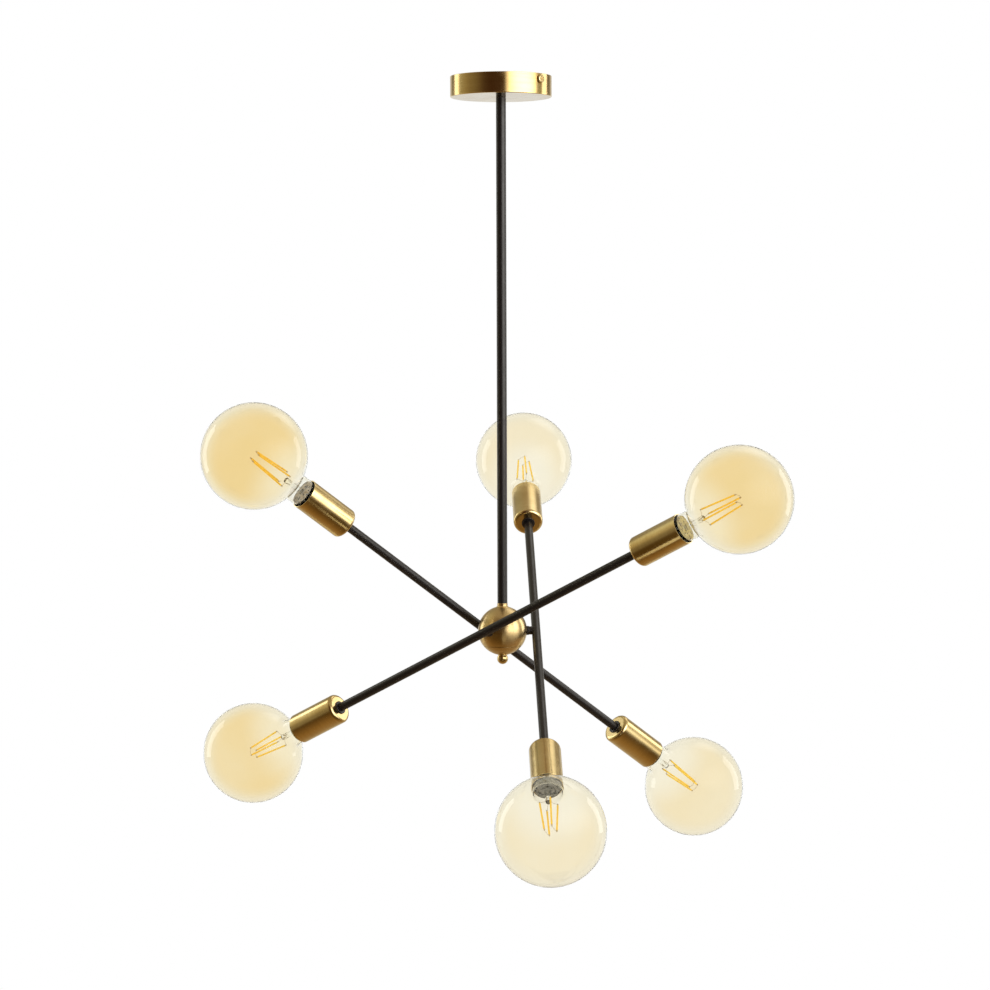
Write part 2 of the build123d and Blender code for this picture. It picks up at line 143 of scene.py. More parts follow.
@dataclass(frozen=True)
class Spindle:
    """The centre line that a turned piece is made about.

    Attributes:
        origin: the point that distances are counted from.
        along: unit direction of the line.
        side: unit direction square to it, from which angles are counted.
    """

    origin: Array
    along: Array
    side: Array

    @staticmethod
    def between(start: Array, stop: Array) -> "Spindle":
        """The line from one point towards another."""
        along = (stop - start) / np.linalg.norm(stop - start)
        side = np.cross(along, np.eye(3)[np.argmin(np.abs(along))])
        return Spindle(start, along, side / np.linalg.norm(side))

    @property
    def across(self) -> Array:
        """The direction a quarter turn on from the side direction."""
        return np.cross(self.along, self.side)

    @property
    def back(self) -> "Spindle":
        """The same line looked along the other way."""
        return Spindle(self.origin, -self.along, self.side)

    def swing(self, angle: Array) -> Array:
        """Unit directions square to the line: cos(angle) * side + sin(angle) * across."""
        return np.cos(angle)[..., None] * self.side + np.sin(angle)[..., None] * self.across

    def point(self, distance: Array, radius: Array, angle: Array) -> Array:
        """Points from cylindrical measures: origin + distance * along + radius * swing(angle).

        Args:
            distance: how far along the line.
            radius: how far out from it.
            angle: radians round it.

        Returns:
            The points, with x, y and z last.
        """
        out = np.asarray(radius)[..., None] * self.swing(np.asarray(angle))
        return self.origin + np.asarray(distance)[..., None] * self.along + out

    def span(self, node: str, within: float = inf) -> Span:
        """Measures the part of a CAD node that lies ahead of the origin and near the line.

        Args:
            node: the node's name.
            within: how near it has to be.

        Returns:
            Its reach along the line and its largest radius.
        """
        offset = node_points(node) - self.origin
        distance = offset @ self.along
        radius = np.linalg.norm(offset - distance[:, None] * self.along, axis=1)
        near = (distance > 0.0) & (radius < within)
        return Span(float(distance[near].min()), float(distance[near].max()), float(radius[near].max()))


STEM_LINE = Spindle(np.zeros(3), np.array([0.0, 0.0, 1.0]), np.array([1.0, 0.0, 0.0]))


@dataclass(frozen=True)
class Corner:
    """A corner of a turned section: its place along the spindle, its radius and how far it is rounded."""

    along: float
    radius: float
    ease: float = FINE_EDGE


@dataclass(frozen=True)
class Outline:
    """A stretch of a turned section, travelled with the solid on the right-hand side.

    Attributes:
        place: distance along the spindle and radius, one row a point.
        normal: outward direction at each point, in the same two measures.
        edge: 1 on an outer edge that handling would wear, falling to 0 beside it.
    """

    place: Array
    normal: Array
    edge: Array

    @property
    def flipped(self) -> "Outline":
        """The same line travelled the other way, which puts the solid on its other side."""
        return Outline(self.place[::-1], -self.normal[::-1], self.edge[::-1])

    @property
    def length(self) -> Array:
        """The length travelled up to each point."""
        steps = np.linalg.norm(np.diff(self.place, axis=0), axis=1)
        return np.concatenate([[0.0], np.cumsum(steps)])


def joined(*parts: Outline) -> Outline:
    """Lays stretches end to end; where two meet in one point, it is kept once with the mean normal.

    Args:
        parts: the stretches in order.

    Returns:
        The whole line.
    """
    place, normal, edge = parts[0].place, parts[0].normal, parts[0].edge
    for part in parts[1:]:
        if len(part.place) == 0:
            continue
        skip = int(np.linalg.norm(place[-1] - part.place[0]) < SAME_POINT)
        if skip:
            mean = normal[-1] + part.normal[0]
            normal = np.vstack([normal[:-1], mean / np.linalg.norm(mean)])
        place = np.vstack([place, part.place[skip:]])
        normal = np.vstack([normal, part.normal[skip:]])
        edge = np.concatenate([edge, part.edge[skip:]])
    return Outline(place, normal, edge)


def arc(centre: tuple[float, float], radius: float, start: float, stop: float, steps: int,
        hollow: bool = False) -> Outline:
    """A round stretch: centre + radius * (cos a, sin a), with a turning evenly from start to stop.

    Args:
        centre: distance along the spindle and radius of the arc's centre.
        radius: of the arc.
        start: first angle, in degrees from the spindle's direction towards outwards.
        stop: last angle.
        steps: number of points.
        hollow: whether the solid is outside the arc, so that normals point to its centre.

    Returns:
        The stretch.
    """
    angle = np.radians(np.linspace(start, stop, steps))
    facing = np.stack([np.cos(angle), np.sin(angle)], axis=1)
    return Outline(np.array(centre) + radius * facing, -facing if hollow else facing, np.zeros(steps))


def run(start: Outline, stop: Outline, spacing: float) -> Outline:
    """The inner points of a straight stretch from the end of one bend to the start of the next.

    Points stand at even spacing, with a few more close to each end so that edge wear fades quickly.

    Args:
        start: the bend before it.
        stop: the bend after it.
        spacing: the widest gap between points.

    Returns:
        The stretch without its two ends.
    """
    first, last = start.place[-1], stop.place[0]
    length = float(np.linalg.norm(last - first))
    near = EDGE_STEPS[EDGE_STEPS < 0.4 * length]
    even = np.linspace(0.0, length, max(2, ceil(length / spacing) + 1))[1:-1]
    spots = np.unique(np.round(np.concatenate([near, length - near, even]), 6))
    heading = (last - first) / length
    worn = np.maximum(start.edge[-1] * np.exp(-spots / WEAR_FADE),
                      stop.edge[0] * np.exp((spots - length) / WEAR_FADE))
    normal = np.broadcast_to([-heading[1], heading[0]], (len(spots), 2))
    return Outline(first + spots[:, None] * heading, normal, worn)


def rounded(corners: Sequence[Corner], closed: bool = False, spacing: float = 0.02) -> Outline:
    """Straight runs with an arc in each corner that touches both of its runs.

    An arc starts ease * tan(turn / 2) before its corner. Its points are centre + ease * normal on an
    outer corner, or centre - ease * normal in a nook, while the normal turns from one run to the next.

    Args:
        corners: the corners in order of travel; an open line's two ends stay as they are.
        closed: whether the line comes back to its first corner.
        spacing: the widest gap between points on a run.

    Returns:
        The line.
    """
    spots = np.array([(corner.along, corner.radius) for corner in corners])
    heading = np.roll(spots, -1, axis=0) - spots
    heading = heading / np.linalg.norm(heading, axis=1, keepdims=True)
    normal = np.stack([-heading[:, 1], heading[:, 0]], axis=1)
    bends: list[Outline] = []
    for number, corner in enumerate(corners):
        if not closed and number in (0, len(corners) - 1):
            facing = normal[min(number, len(corners) - 2)]
            bends.append(Outline(spots[number][None], facing[None], np.zeros(1)))
            continue
        into, out = heading[number - 1], heading[number]
        cross = into[0] * out[1] - into[1] * out[0]
        turn = atan2(abs(cross), float(into @ out))
        bulge = -np.sign(cross)
        steps = max(3, ceil(turn / BEND_STEP) + 1)
        swing = -bulge * turn * np.linspace(0.0, 1.0, steps)
        before = normal[number - 1]
        facing = np.stack([np.cos(swing) * before[0] - np.sin(swing) * before[1],
                           np.sin(swing) * before[0] + np.cos(swing) * before[1]], axis=1)
        centre = spots[number] - into * corner.ease * tan(turn / 2.0) - bulge * corner.ease * before
        worn = np.full(steps, float(bulge > 0.0 and corner.ease < UNWORN_ROUND))
        bends.append(Outline(centre + bulge * corner.ease * facing, facing, worn))
    parts = [bends[0]]
    for number in range(1, len(bends) + int(closed)):
        parts.append(run(bends[number - 1], bends[number % len(bends)], spacing))
        parts.append(bends[number % len(bends)])
    return joined(*(parts[:-1] if closed else parts))


@dataclass(frozen=True)
class Surface:
    """A skin of points and faces, with what the finishes read at each point.

    Attributes:
        points: one row a point.
        normals: outward directions, or None to take them from the faces.
        quads: four point numbers a face.
        triangles: three point numbers a face.
        lathe: length along the section, then a small circle round the spindle, for patterns of turning.
        edge: 1 on worn edges.
        tint: how strongly glass is coloured.
    """

    points: Array
    normals: Array | None
    quads: Array
    triangles: Array
    lathe: Array
    edge: Array
    tint: Array


def merged(surfaces: Sequence[Surface]) -> Surface:
    """Several skins as one, with the point numbers of each moved past those before it.

    Args:
        surfaces: the skins in order.

    Returns:
        The one skin.
    """
    offsets = np.cumsum([0] + [len(surface.points) for surface in surfaces])
    plain = any(surface.normals is None for surface in surfaces)
    return Surface(
        np.vstack([surface.points for surface in surfaces]),
        None if plain else np.vstack([surface.normals for surface in surfaces]),
        np.vstack([surface.quads + offset for surface, offset in zip(surfaces, offsets)]),
        np.vstack([surface.triangles + offset for surface, offset in zip(surfaces, offsets)]),
        np.vstack([surface.lathe for surface in surfaces]),
        np.concatenate([surface.edge for surface in surfaces]),
        np.concatenate([surface.tint for surface in surfaces]))


def woven(rows: int, columns: int, looped: bool, poles: tuple[bool, bool]) -> tuple[Array, Array, Array]:
    """Faces over a grid whose columns go right round.

    Face (i, j) joins points (i, j), (i, j + 1), (i + 1, j + 1) and (i + 1, j). A looped grid joins its
    last row to its first, and a row that is a pole is one point with a fan of triangles.

    Args:
        rows: number of rows.
        columns: number of points round.
        looped: whether the rows close on themselves.
        poles: whether the first and the last row are poles.

    Returns:
        The numbers of the grid points that are kept, the quads and the triangles.
    """
    number = np.arange(rows * columns).reshape(rows, columns)
    number[0] = number[0, 0] if poles[0] else number[0]
    number[-1] = number[-1, 0] if poles[1] else number[-1]
    ahead = np.roll(number, -1, axis=0)
    faces = np.stack([number, np.roll(number, -1, axis=1), np.roll(ahead, -1, axis=1), ahead], axis=-1)
    faces = faces if looped else faces[:-1]
    fans = [faces[0][:, [0, 2, 3]]] if poles[0] else []
    fans += [faces[-1][:, [0, 1, 2]]] if poles[1] else []
    strips = faces[int(poles[0]):len(faces) - int(poles[1])].reshape(-1, 4)
    kept = np.unique(number)
    triangles = np.vstack(fans) if fans else np.empty((0, 3), dtype=int)
    return kept, np.searchsorted(kept, strips), np.searchsorted(kept, triangles)


def turned(spindle: Spindle, outline: Outline, columns: int, closed: bool = False,
           tint: Array | None = None, lift: Callable[[Array, Array], Array] | None = None) -> Surface:
    """A section carried round a spindle.

    Point (i, j) is origin + distance_i * along + radius_i * swing(a_j), with a_j = 2 pi j / columns.
    A section that reaches the spindle ends there in a pole.

    Args:
        spindle: the centre line.
        outline: the section.
        columns: points round.
        closed: whether the section is a closed loop, as of a ring.
        tint: glass tint at each point of the section.
        lift: radius to add as a function of distance and angle, as for a thread.

    Returns:
        The skin.
    """
    angle = np.linspace(0.0, 2.0 * pi, columns, endpoint=False)[None, :]
    distance = np.repeat(outline.place[:, :1], columns, axis=1)
    radius = np.repeat(outline.place[:, 1:], columns, axis=1)
    if lift is not None:
        radius = radius + lift(distance, angle)
    angle = np.broadcast_to(angle, radius.shape)
    poles = (bool(outline.place[0, 1] < ON_SPINDLE), bool(outline.place[-1, 1] < ON_SPINDLE))
    kept, quads, triangles = woven(*radius.shape, closed, poles)
    rows = kept // columns
    points = spindle.point(distance, radius, angle).reshape(-1, 3)[kept]
    normals = (outline.normal[:, :1, None] * spindle.along
               + outline.normal[:, 1:, None] * spindle.swing(angle)).reshape(-1, 3)[kept]
    ends = np.isin(rows, [row for row, pole in zip((0, len(radius) - 1), poles) if pole])
    normals[ends] = np.sign(outline.normal[rows[ends], :1]) * spindle.along
    lathe = np.stack([np.broadcast_to(outline.length[:, None], radius.shape), LATHE_RADIUS * np.cos(angle),
                      LATHE_RADIUS * np.sin(angle)], axis=-1).reshape(-1, 3)[kept]
    colour = np.zeros(len(outline.edge)) if tint is None else tint
    return Surface(points, None if lift is not None else normals, quads, triangles, lathe,
                   outline.edge[rows], colour[rows])


def ring(spindle: Spindle, reach: tuple[float, float], radii: tuple[float, float], columns: int,
         eases: Sequence[float] = (FINE_EDGE,) * 4, spacing: float = 0.02) -> Surface:
    """A plain ring: the rectangle between two places and two radii, carried round a spindle.

    Args:
        spindle: the centre line.
        reach: where it starts and ends along the line.
        radii: of its bore and of its outside.
        columns: points round.
        eases: rounds of its corners: inner, outer at the start, outer at the end, inner.
        spacing: the widest gap between points on a run.

    Returns:
        The skin.
    """
    (low, high), (bore, outer) = reach, radii
    places = ((low, bore), (low, outer), (high, outer), (high, bore))
    corners = [Corner(*place, ease) for place, ease in zip(places, eases)]
    return turned(spindle, rounded(corners, closed=True, spacing=spacing), columns, closed=True)


def wire(path: Array, radius: float, square: Array, columns: int = 10) -> Surface:
    """A round wire along a path that stays in one plane.

    Point (i, j) is path_i + radius * (cos a_j * normal_i + sin a_j * square), where normal_i is square to
    the path in its plane. A first and a last row at radius 0 close the ends.

    Args:
        path: the points of its centre line.
        radius: of the wire.
        square: unit direction square to the path's plane.
        columns: points round.

    Returns:
        The skin.
    """
    heading = np.gradient(path, axis=0)
    normal = np.cross(square, heading / np.linalg.norm(heading, axis=1, keepdims=True))
    ends = np.concatenate([[0], np.arange(len(path)), [len(path) - 1]])
    reach = np.full(len(ends), radius)
    reach[[0, -1]] = 0.0
    angle = np.linspace(0.0, 2.0 * pi, columns, endpoint=False)
    around = np.cos(angle)[None, :, None] * normal[ends][:, None] + np.sin(angle)[None, :, None] * square
    grid = path[ends][:, None] + reach[:, None, None] * around
    kept, quads, triangles = woven(len(ends), columns, False, (True, True))
    zero = np.zeros(len(kept))
    return Surface(grid.reshape(-1, 3)[kept], None, quads, triangles, np.zeros((len(kept), 3)), zero, zero)


class NodeDesk:
    """Places and joins the nodes of one shader tree."""

    def __init__(self, tree: bpy.types.NodeTree) -> None:
        """Starts on an empty tree."""
        self.tree = tree
        tree.nodes.clear()

    def feed(self, socket: Socket, value: object) -> None:
        """Links a socket to another node's outlet, or sets it to a plain value."""
        if isinstance(value, bpy.types.NodeSocket):
            self.tree.links.new(value, socket)
        else:
            socket.default_value = value

    def put(self, kind: str, inlets: dict | None = None, **settings: object) -> bpy.types.Node:
        """Adds a node.

        Args:
            kind: its type.
            inlets: what goes into its sockets by name or number, a plain value or another node's outlet.
            settings: its own options.

        Returns:
            The node.
        """
        node = self.tree.nodes.new(kind)
        for name, value in settings.items():
            setattr(node, name, value)
        for name, value in (inlets or {}).items():
            self.feed(node.inputs[name], value)
        return node

    def lead(self, shader: bpy.types.Node, **sockets: object) -> None:
        """Sets or links a shader's sockets, with an underscore for each space in a name."""
        for name, value in sockets.items():
            self.feed(shader.inputs[name.replace("_", " ")], value)

    def effect(self, group: bpy.types.NodeTree, **inlets: object) -> bpy.types.NodeOutputs:
        """The outlets of a shared effect with its own values."""
        return self.put("ShaderNodeGroup", inlets, node_tree=group).outputs

    def clouds(self, place: Socket, scale: float, low: float = 0.0, high: float = 1.0) -> Socket:
        """The outlet of soft patches, at a count per metre, between two values."""
        return self.effect(mottle(), Place=place, Scale=scale, Low=low, High=high)["Value"]

    def rubbed(self, place: Socket, scale: float, amount: float) -> Socket:
        """The outlet of a mask of rubbed edges, broken up by grains at a count per metre."""
        edge = self.attribute("edge", "Fac")
        return self.effect(edge_wear(), Edge=edge, Place=place, Scale=scale, Amount=amount)["Mask"]

    def noise(self, place: Socket, scale: object, detail: float, **more: float) -> Socket:
        """The outlet of cloudy noise."""
        inlets = {"Vector": place, "Scale": scale, "Detail": detail, **more}
        return self.put("ShaderNodeTexNoise", inlets).outputs[0]

    def bump(self, height: Socket, distance: float, strength: float) -> Socket:
        """The normal that a height gives, with the height's depth in metres."""
        inlets = {"Height": height, "Distance": distance, "Strength": strength}
        return self.put("ShaderNodeBump", inlets).outputs["Normal"]

    def math(self, operation: str, *values: object) -> Socket:
        """The outlet of a sum on values or other outlets."""
        return self.put("ShaderNodeMath", dict(enumerate(values)), operation=operation).outputs[0]

    def between(self, value: object, low: float, high: float, start: object = 0.0,
                stop: object = 1.0) -> Socket:
        """The outlet of a smooth step from `start` at `low` to `stop` at `high`."""
        inlets = {"Value": value, "From Min": low, "From Max": high, "To Min": start, "To Max": stop}
        return self.put("ShaderNodeMapRange", inlets, interpolation_type="SMOOTHSTEP").outputs["Result"]

    def blend(self, factor: object, first: object, second: object) -> Socket:
        """The outlet of a mix of two colours."""
        colours = [(*value, 1.0) if isinstance(value, tuple) else value for value in (first, second)]
        inlets = {0: factor, 6: colours[0], 7: colours[1]}
        return self.put("ShaderNodeMix", inlets, data_type="RGBA").outputs[2]

    def ramp(self, value: object, stops: dict[float, Colour], low: float, high: float) -> Socket:
        """Adds a run of colours along a value.

        Args:
            value: what the colour follows.
            stops: the colours, each at its own value.
            low: the value at the start of the run.
            high: the value at its end.

        Returns:
            The outlet of the colour.
        """
        share = self.math("DIVIDE", self.math("SUBTRACT", value, low), high - low)
        node = self.put("ShaderNodeValToRGB", {0: share})
        for number, place in enumerate(sorted(stops)):
            elements = node.color_ramp.elements
            spot = (place - low) / (high - low)
            element = elements[number] if number < 2 else elements.new(spot)
            element.position, element.color = spot, (*stops[place], 1.0)
        return node.outputs["Color"]

    def attribute(self, name: str, outlet: str) -> Socket:
        """The outlet of one of the piece's own attributes."""
        return self.put("ShaderNodeAttribute", attribute_name=name).outputs[outlet]

    def place(self) -> Socket:
        """The outlet of the place on the object, in metres."""
        return self.put("ShaderNodeTexCoord").outputs["Object"]


def new_effect(name: str, inlets: dict[str, str], outlets: dict[str, str]) -> tuple[
        NodeDesk, bpy.types.NodeOutputs, bpy.types.NodeInputs]:
    """Starts a shared shader effect.

    Args:
        name: of the group.
        inlets: socket names with their kind, Vector or Float.
        outlets: names of what it gives, with their kind, Float or Color.

    Returns:
        The desk to build it on, what comes into it and where its results go.
    """
    tree = bpy.data.node_groups.new(name, "ShaderNodeTree")
    for label, kind in inlets.items():
        tree.interface.new_socket(label, in_out="INPUT", socket_type=f"NodeSocket{kind}")
    for label, kind in outlets.items():
        tree.interface.new_socket(label, in_out="OUTPUT", socket_type=f"NodeSocket{kind}")
    desk = NodeDesk(tree)
    return desk, desk.put("NodeGroupInput").outputs, desk.put("NodeGroupOutput").inputs


@cache
def turning_rings() -> bpy.types.NodeTree:
    """Fine rings left by a lathe: noise squeezed along the section and drawn out round the spindle.

    Returns:
        The group, with Height for fine rings and Tone for broader streaks, both from 0 to 1.
    """
    inlets = {"Lathe": "Vector", "Rings": "Float", "Drift": "Float"}
    desk, given, result = new_effect("turning_rings", inlets, {"Height": "Float", "Tone": "Float"})
    for label, share in (("Height", 1.0), ("Tone", 0.16)):
        count = desk.math("MULTIPLY", given["Rings"], share)
        counts = {"X": count, "Y": given["Drift"], "Z": given["Drift"]}
        scale = desk.put("ShaderNodeCombineXYZ", counts).outputs[0]
        place = desk.put("ShaderNodeVectorMath", {0: given["Lathe"], 1: scale}, operation="MULTIPLY")
        desk.feed(result[label], desk.between(desk.noise(place.outputs[0], 1.0, 3.0), 0.28, 0.72))
    return desk.tree


@cache
def mottle() -> bpy.types.NodeTree:
    """Soft uneven patches of handling and tarnish, as cloudy noise.

    Returns:
        The group, with a Value between its Low and High.
    """
    inlets = {"Place": "Vector", "Scale": "Float", "Low": "Float", "High": "Float"}
    desk, given, result = new_effect("mottle", inlets, {"Value": "Float"})
    noise = desk.noise(given["Place"], given["Scale"], 4.0, Roughness=0.55, Distortion=0.4)
    desk.feed(result["Value"], desk.between(noise, 0.3, 0.7, given["Low"], given["High"]))
    return desk.tree


@cache
def edge_wear() -> bpy.types.NodeTree:
    """Edges rubbed bright: the edge attribute broken up by fine noise.

    Returns:
        The group, with a Mask from 0 to Amount.
    """
    inlets = {"Edge": "Float", "Place": "Vector", "Scale": "Float", "Amount": "Float"}
    desk, given, result = new_effect("edge_wear", inlets, {"Mask": "Float"})
    rough = desk.math("MULTIPLY_ADD", desk.noise(given["Place"], given["Scale"], 3.0), 0.8, given["Edge"])
    desk.feed(result["Mask"], desk.math("MULTIPLY", desk.between(rough, 0.75, 1.5), given["Amount"]))
    return desk.tree


@cache
def grit() -> bpy.types.NodeTree:
    """The fine pebbled skin of a sprayed or moulded surface: noise over small cells.

    Returns:
        The group, with Height from 0 to 1 and Speck, a sparse mask of dust.
    """
    inlets = {"Place": "Vector", "Scale": "Float"}
    desk, given, result = new_effect("grit", inlets, {"Height": "Float", "Speck": "Float"})
    cells = desk.put("ShaderNodeTexVoronoi", {"Vector": given["Place"], "Scale": given["Scale"]})
    pits = desk.math("MULTIPLY", cells.outputs["Distance"], 0.3)
    noise = desk.noise(given["Place"], given["Scale"], 2.0)
    desk.feed(result["Height"], desk.math("MULTIPLY_ADD", noise, 0.7, pits))
    dust = desk.noise(given["Place"], desk.math("MULTIPLY", given["Scale"], 0.3), 5.0)
    desk.feed(result["Speck"], desk.between(dust, 0.62, 0.78))
    return desk.tree


# What gloss sees of the room. The walls' colours go by the turn from the camera's side, in degrees that are
# positive to the right, and the floor's by how far back it is, in metres
WALLS: dict[float, Colour] = {
    -180: (0.22, 0.2, 0.15), -150: (0.22, 0.2, 0.15), -125: (0.3, 0.28, 0.2), -107: (0.48, 0.46, 0.33),
    -87: (0.38, 0.33, 0.2), -75: (0.29, 0.24, 0.14), -59: (0.21, 0.165, 0.09), -49: (0.15, 0.105, 0.055),
    -39: (0.085, 0.05, 0.027), -25: (0.058, 0.027, 0.012), 0: (0.058, 0.027, 0.012), 12: (0.12, 0.075, 0.04),
    48: (0.42, 0.38, 0.3), 100: (0.42, 0.38, 0.3), 135: (0.24, 0.21, 0.16), 180: (0.24, 0.21, 0.16)}
FLOOR_BANDS: dict[float, Colour] = {
    -1.2: (0.095, 0.057, 0.015), -0.75: (0.13, 0.074, 0.022), -0.4: (0.2, 0.112, 0.034),
    0.0: (0.31, 0.18, 0.06), 0.5: (0.38, 0.255, 0.13), 0.9: (0.44, 0.34, 0.22), 1.4: (0.52, 0.44, 0.33),
    2.1: (0.62, 0.57, 0.49)}
CEILING: Colour = (0.43, 0.36, 0.25)
LOW_BACKDROP: Colour = (0.86, 0.92, 1.0)
HIGH_BACKDROP: Colour = (0.75, 0.73, 0.67)


@cache
def room_glow() -> bpy.types.NodeTree:
    """What gloss sees of the studio: a dark room in front, paler walls beside it and white low down behind.

    The colour follows the direction's turn from the camera's side and its rise, both in degrees.

    Returns:
        The group, with the Colour seen in a Direction.
    """
    desk, given, result = new_effect("room_glow", {"Direction": "Vector"}, {"Colour": "Color"})
    x, y, z = desk.put("ShaderNodeSeparateXYZ", {0: given["Direction"]}).outputs
    level = desk.math("SQRT", desk.math("MULTIPLY_ADD", x, x, desk.math("MULTIPLY", y, y)))
    rise = desk.math("DEGREES", desk.math("ARCTAN2", z, level))
    turn = desk.math("DEGREES", desk.math("ARCTAN2", x, desk.math("MULTIPLY", y, -1.0)))
    around = desk.ramp(turn, WALLS, -180.0, 180.0)
    lift = desk.between(rise, 4.0, 20.0, 1.0, 1.5)
    raised = desk.put("ShaderNodeVectorMath", {0: around, "Scale": lift}, operation="SCALE").outputs[0]
    walls = desk.blend(desk.between(rise, 40.0, 70.0), raised, CEILING)
    far = desk.between(desk.math("ABSOLUTE", turn), 142.0, 158.0)
    behind = desk.math("MULTIPLY", far, desk.between(rise, 4.0, 18.0, 1.0, 0.0))
    backdrop = desk.blend(desk.between(rise, -7.0, -1.0), LOW_BACKDROP, HIGH_BACKDROP)
    desk.feed(result["Colour"], desk.blend(behind, walls, backdrop))
    return desk.tree


@dataclass(frozen=True)
class Finish(ABC):
    """A finish: its name, the record's slot that it stands for, and how its shader is painted."""

    name: str
    slot: Slot

    @abstractmethod
    def paint(self, desk: NodeDesk, shader: bpy.types.Node) -> None:
        """Sets the shader's values and leads the patterns to it."""

    def material(self) -> bpy.types.Material:
        """Gives the material, which is made the first time that it is asked for.

        Returns:
            The material.
        """
        known = bpy.data.materials.get(self.name)
        if known is not None:
            return known
        made = bpy.data.materials.new(self.name)
        made.use_nodes = True
        desk = NodeDesk(made.node_tree)
        shader = desk.put("ShaderNodeBsdfPrincipled")
        desk.put("ShaderNodeOutputMaterial", {"Surface": shader.outputs[0]})
        self.paint(desk, shader)
        return made


@dataclass(frozen=True)
class TurnedMetal(Finish):
    """Bare or lacquered metal with turning rings, soft tarnish and bright edges.

    Attributes:
        light: colour of clean metal.
        deep: colour where it has dulled.
        smooth: lowest roughness.
        rough: highest roughness.
        brushed: how far the turning rings draw out a highlight across them, from 0 to 1.
        rings: turning rings per metre of section.
        ring_depth: height of the rings.
        drift: how quickly the rings change round the spindle.
        tarnish: dull patches per metre.
        smudge: smudges per metre.
        grain: grains per metre that break up the edges' wear.
    """

    light: Colour
    deep: Colour
    smooth: float
    rough: float
    brushed: float = 0.0
    rings: float = 2600.0
    ring_depth: float = 4e-6
    drift: float = 120.0
    tarnish: float = 16.0
    smudge: float = 55.0
    grain: float = 260.0

    def paint(self, desk: NodeDesk, shader: bpy.types.Node) -> None:
        """Tarnish and streaks set the colour, rings and smudges the gloss."""
        place = desk.place()
        lathe = desk.attribute("lathe", "Vector")
        rings = desk.effect(turning_rings(), Lathe=lathe, Rings=self.rings, Drift=self.drift)
        dull = desk.math("MULTIPLY_ADD", rings["Tone"], 0.3, desk.clouds(place, self.tarnish, high=0.7))
        bright = tuple(min(1.0, value * 1.12 + 0.03) for value in self.light)
        clean = desk.blend(dull, self.light, self.deep)
        smudge = desk.math("MULTIPLY", desk.clouds(place, self.smudge), 0.6)
        gloss = desk.math("MULTIPLY_ADD", rings["Height"], 0.4, smudge)
        worn = desk.blend(desk.rubbed(place, self.grain, 0.7), clean, bright)
        desk.lead(shader, Metallic=1.0, Base_Color=worn, Anisotropic=self.brushed,
                  Roughness=desk.between(gloss, 0.0, 1.0, self.smooth, self.rough),
                  Anisotropic_Rotation=0.25, Normal=desk.bump(rings["Height"], self.ring_depth, 0.5))


@dataclass(frozen=True)
class SprayedCoat(Finish):
    """Satin paint or moulded plastic with a faint pebbled skin and a little dust.

    Attributes:
        colour: of the coat.
        worn: colour at rubbed edges.
        dust: colour of fine dust.
        roughness: its mean roughness.
        pebbles: grains per metre.
        pebble_depth: height of the grains.
        dusting: dusty patches per metre.
        smudge: smudges per metre.
        grain: grains per metre that break up the edges' wear.
    """

    colour: Colour
    worn: Colour
    dust: Colour
    roughness: float
    pebbles: float = 900.0
    pebble_depth: float = 8e-6
    dusting: float = 30.0
    smudge: float = 70.0
    grain: float = 420.0

    def paint(self, desk: NodeDesk, shader: bpy.types.Node) -> None:
        """Dust and rubbed edges lighten the coat, and the pebbles break its gloss."""
        place = desk.place()
        skin = desk.effect(grit(), Place=place, Scale=self.pebbles)
        dusty = desk.math("MULTIPLY", skin["Speck"], desk.clouds(place, self.dusting, high=0.35))
        coat = desk.blend(dusty, self.colour, self.dust)
        desk.lead(shader, Base_Color=desk.blend(desk.rubbed(place, self.grain, 0.5), coat, self.worn),
                  Roughness=desk.clouds(place, self.smudge, self.roughness - 0.05, self.roughness + 0.05),
                  Normal=desk.bump(skin["Height"], self.pebble_depth, 0.6))


@dataclass(frozen=True)
class BlownGlass(Finish):
    """Clear glass, tinted where the tint attribute says, with the faint waves of blown glass.

    Attributes:
        clear: colour of light through an untinted wall.
        tinted: colour through a fully tinted wall.
        rim: colour painted where the wall is seen edge on, a painted reflection of the white room round the
            glass.
        index: how strongly it bends light.
        wave_depth: height of the waves.
        wave: waves per metre.
        cloud: patches of thinner tint per metre.
        shine: how strongly the ring near the rim shines.
    """

    clear: Colour
    tinted: Colour
    rim: Colour
    index: float
    wave_depth: float = 6e-5
    wave: float = 24.0
    cloud: float = 11.0
    shine: float = 0.45

    def paint(self, desk: NodeDesk, shader: bpy.types.Node) -> None:
        """The tint thickens and thins a little in clouds, and a painted reflection pales it towards the rim,
        where a ring shines.
        """
        place = desk.place()
        depth = desk.math("MULTIPLY", desk.attribute("tint", "Fac"), desk.clouds(place, self.cloud, low=0.88))
        facing = desk.put("ShaderNodeLayerWeight", {"Blend": 0.5}).outputs["Facing"]
        wall = desk.blend(depth, self.clear, self.tinted)
        inner_side = desk.between(facing, 0.26, 0.42, 0.0, self.shine)
        ring_mask = desk.math("MULTIPLY", inner_side, desk.between(facing, 0.54, 0.66, 1.0, 0.0))
        # Painted reflection: the wall's colour turns to the rim colour as the wall is seen more edge on.
        seen = desk.blend(desk.between(facing, 0.24, 0.66), wall, self.rim)
        desk.lead(shader, Base_Color=seen, Roughness=0.0, IOR=self.index, Transmission_Weight=1.0,
                  Coat_Weight=ring_mask, Coat_Roughness=0.03, Coat_IOR=1.5,
                  Normal=desk.bump(desk.clouds(place, self.wave), self.wave_depth, 0.4))


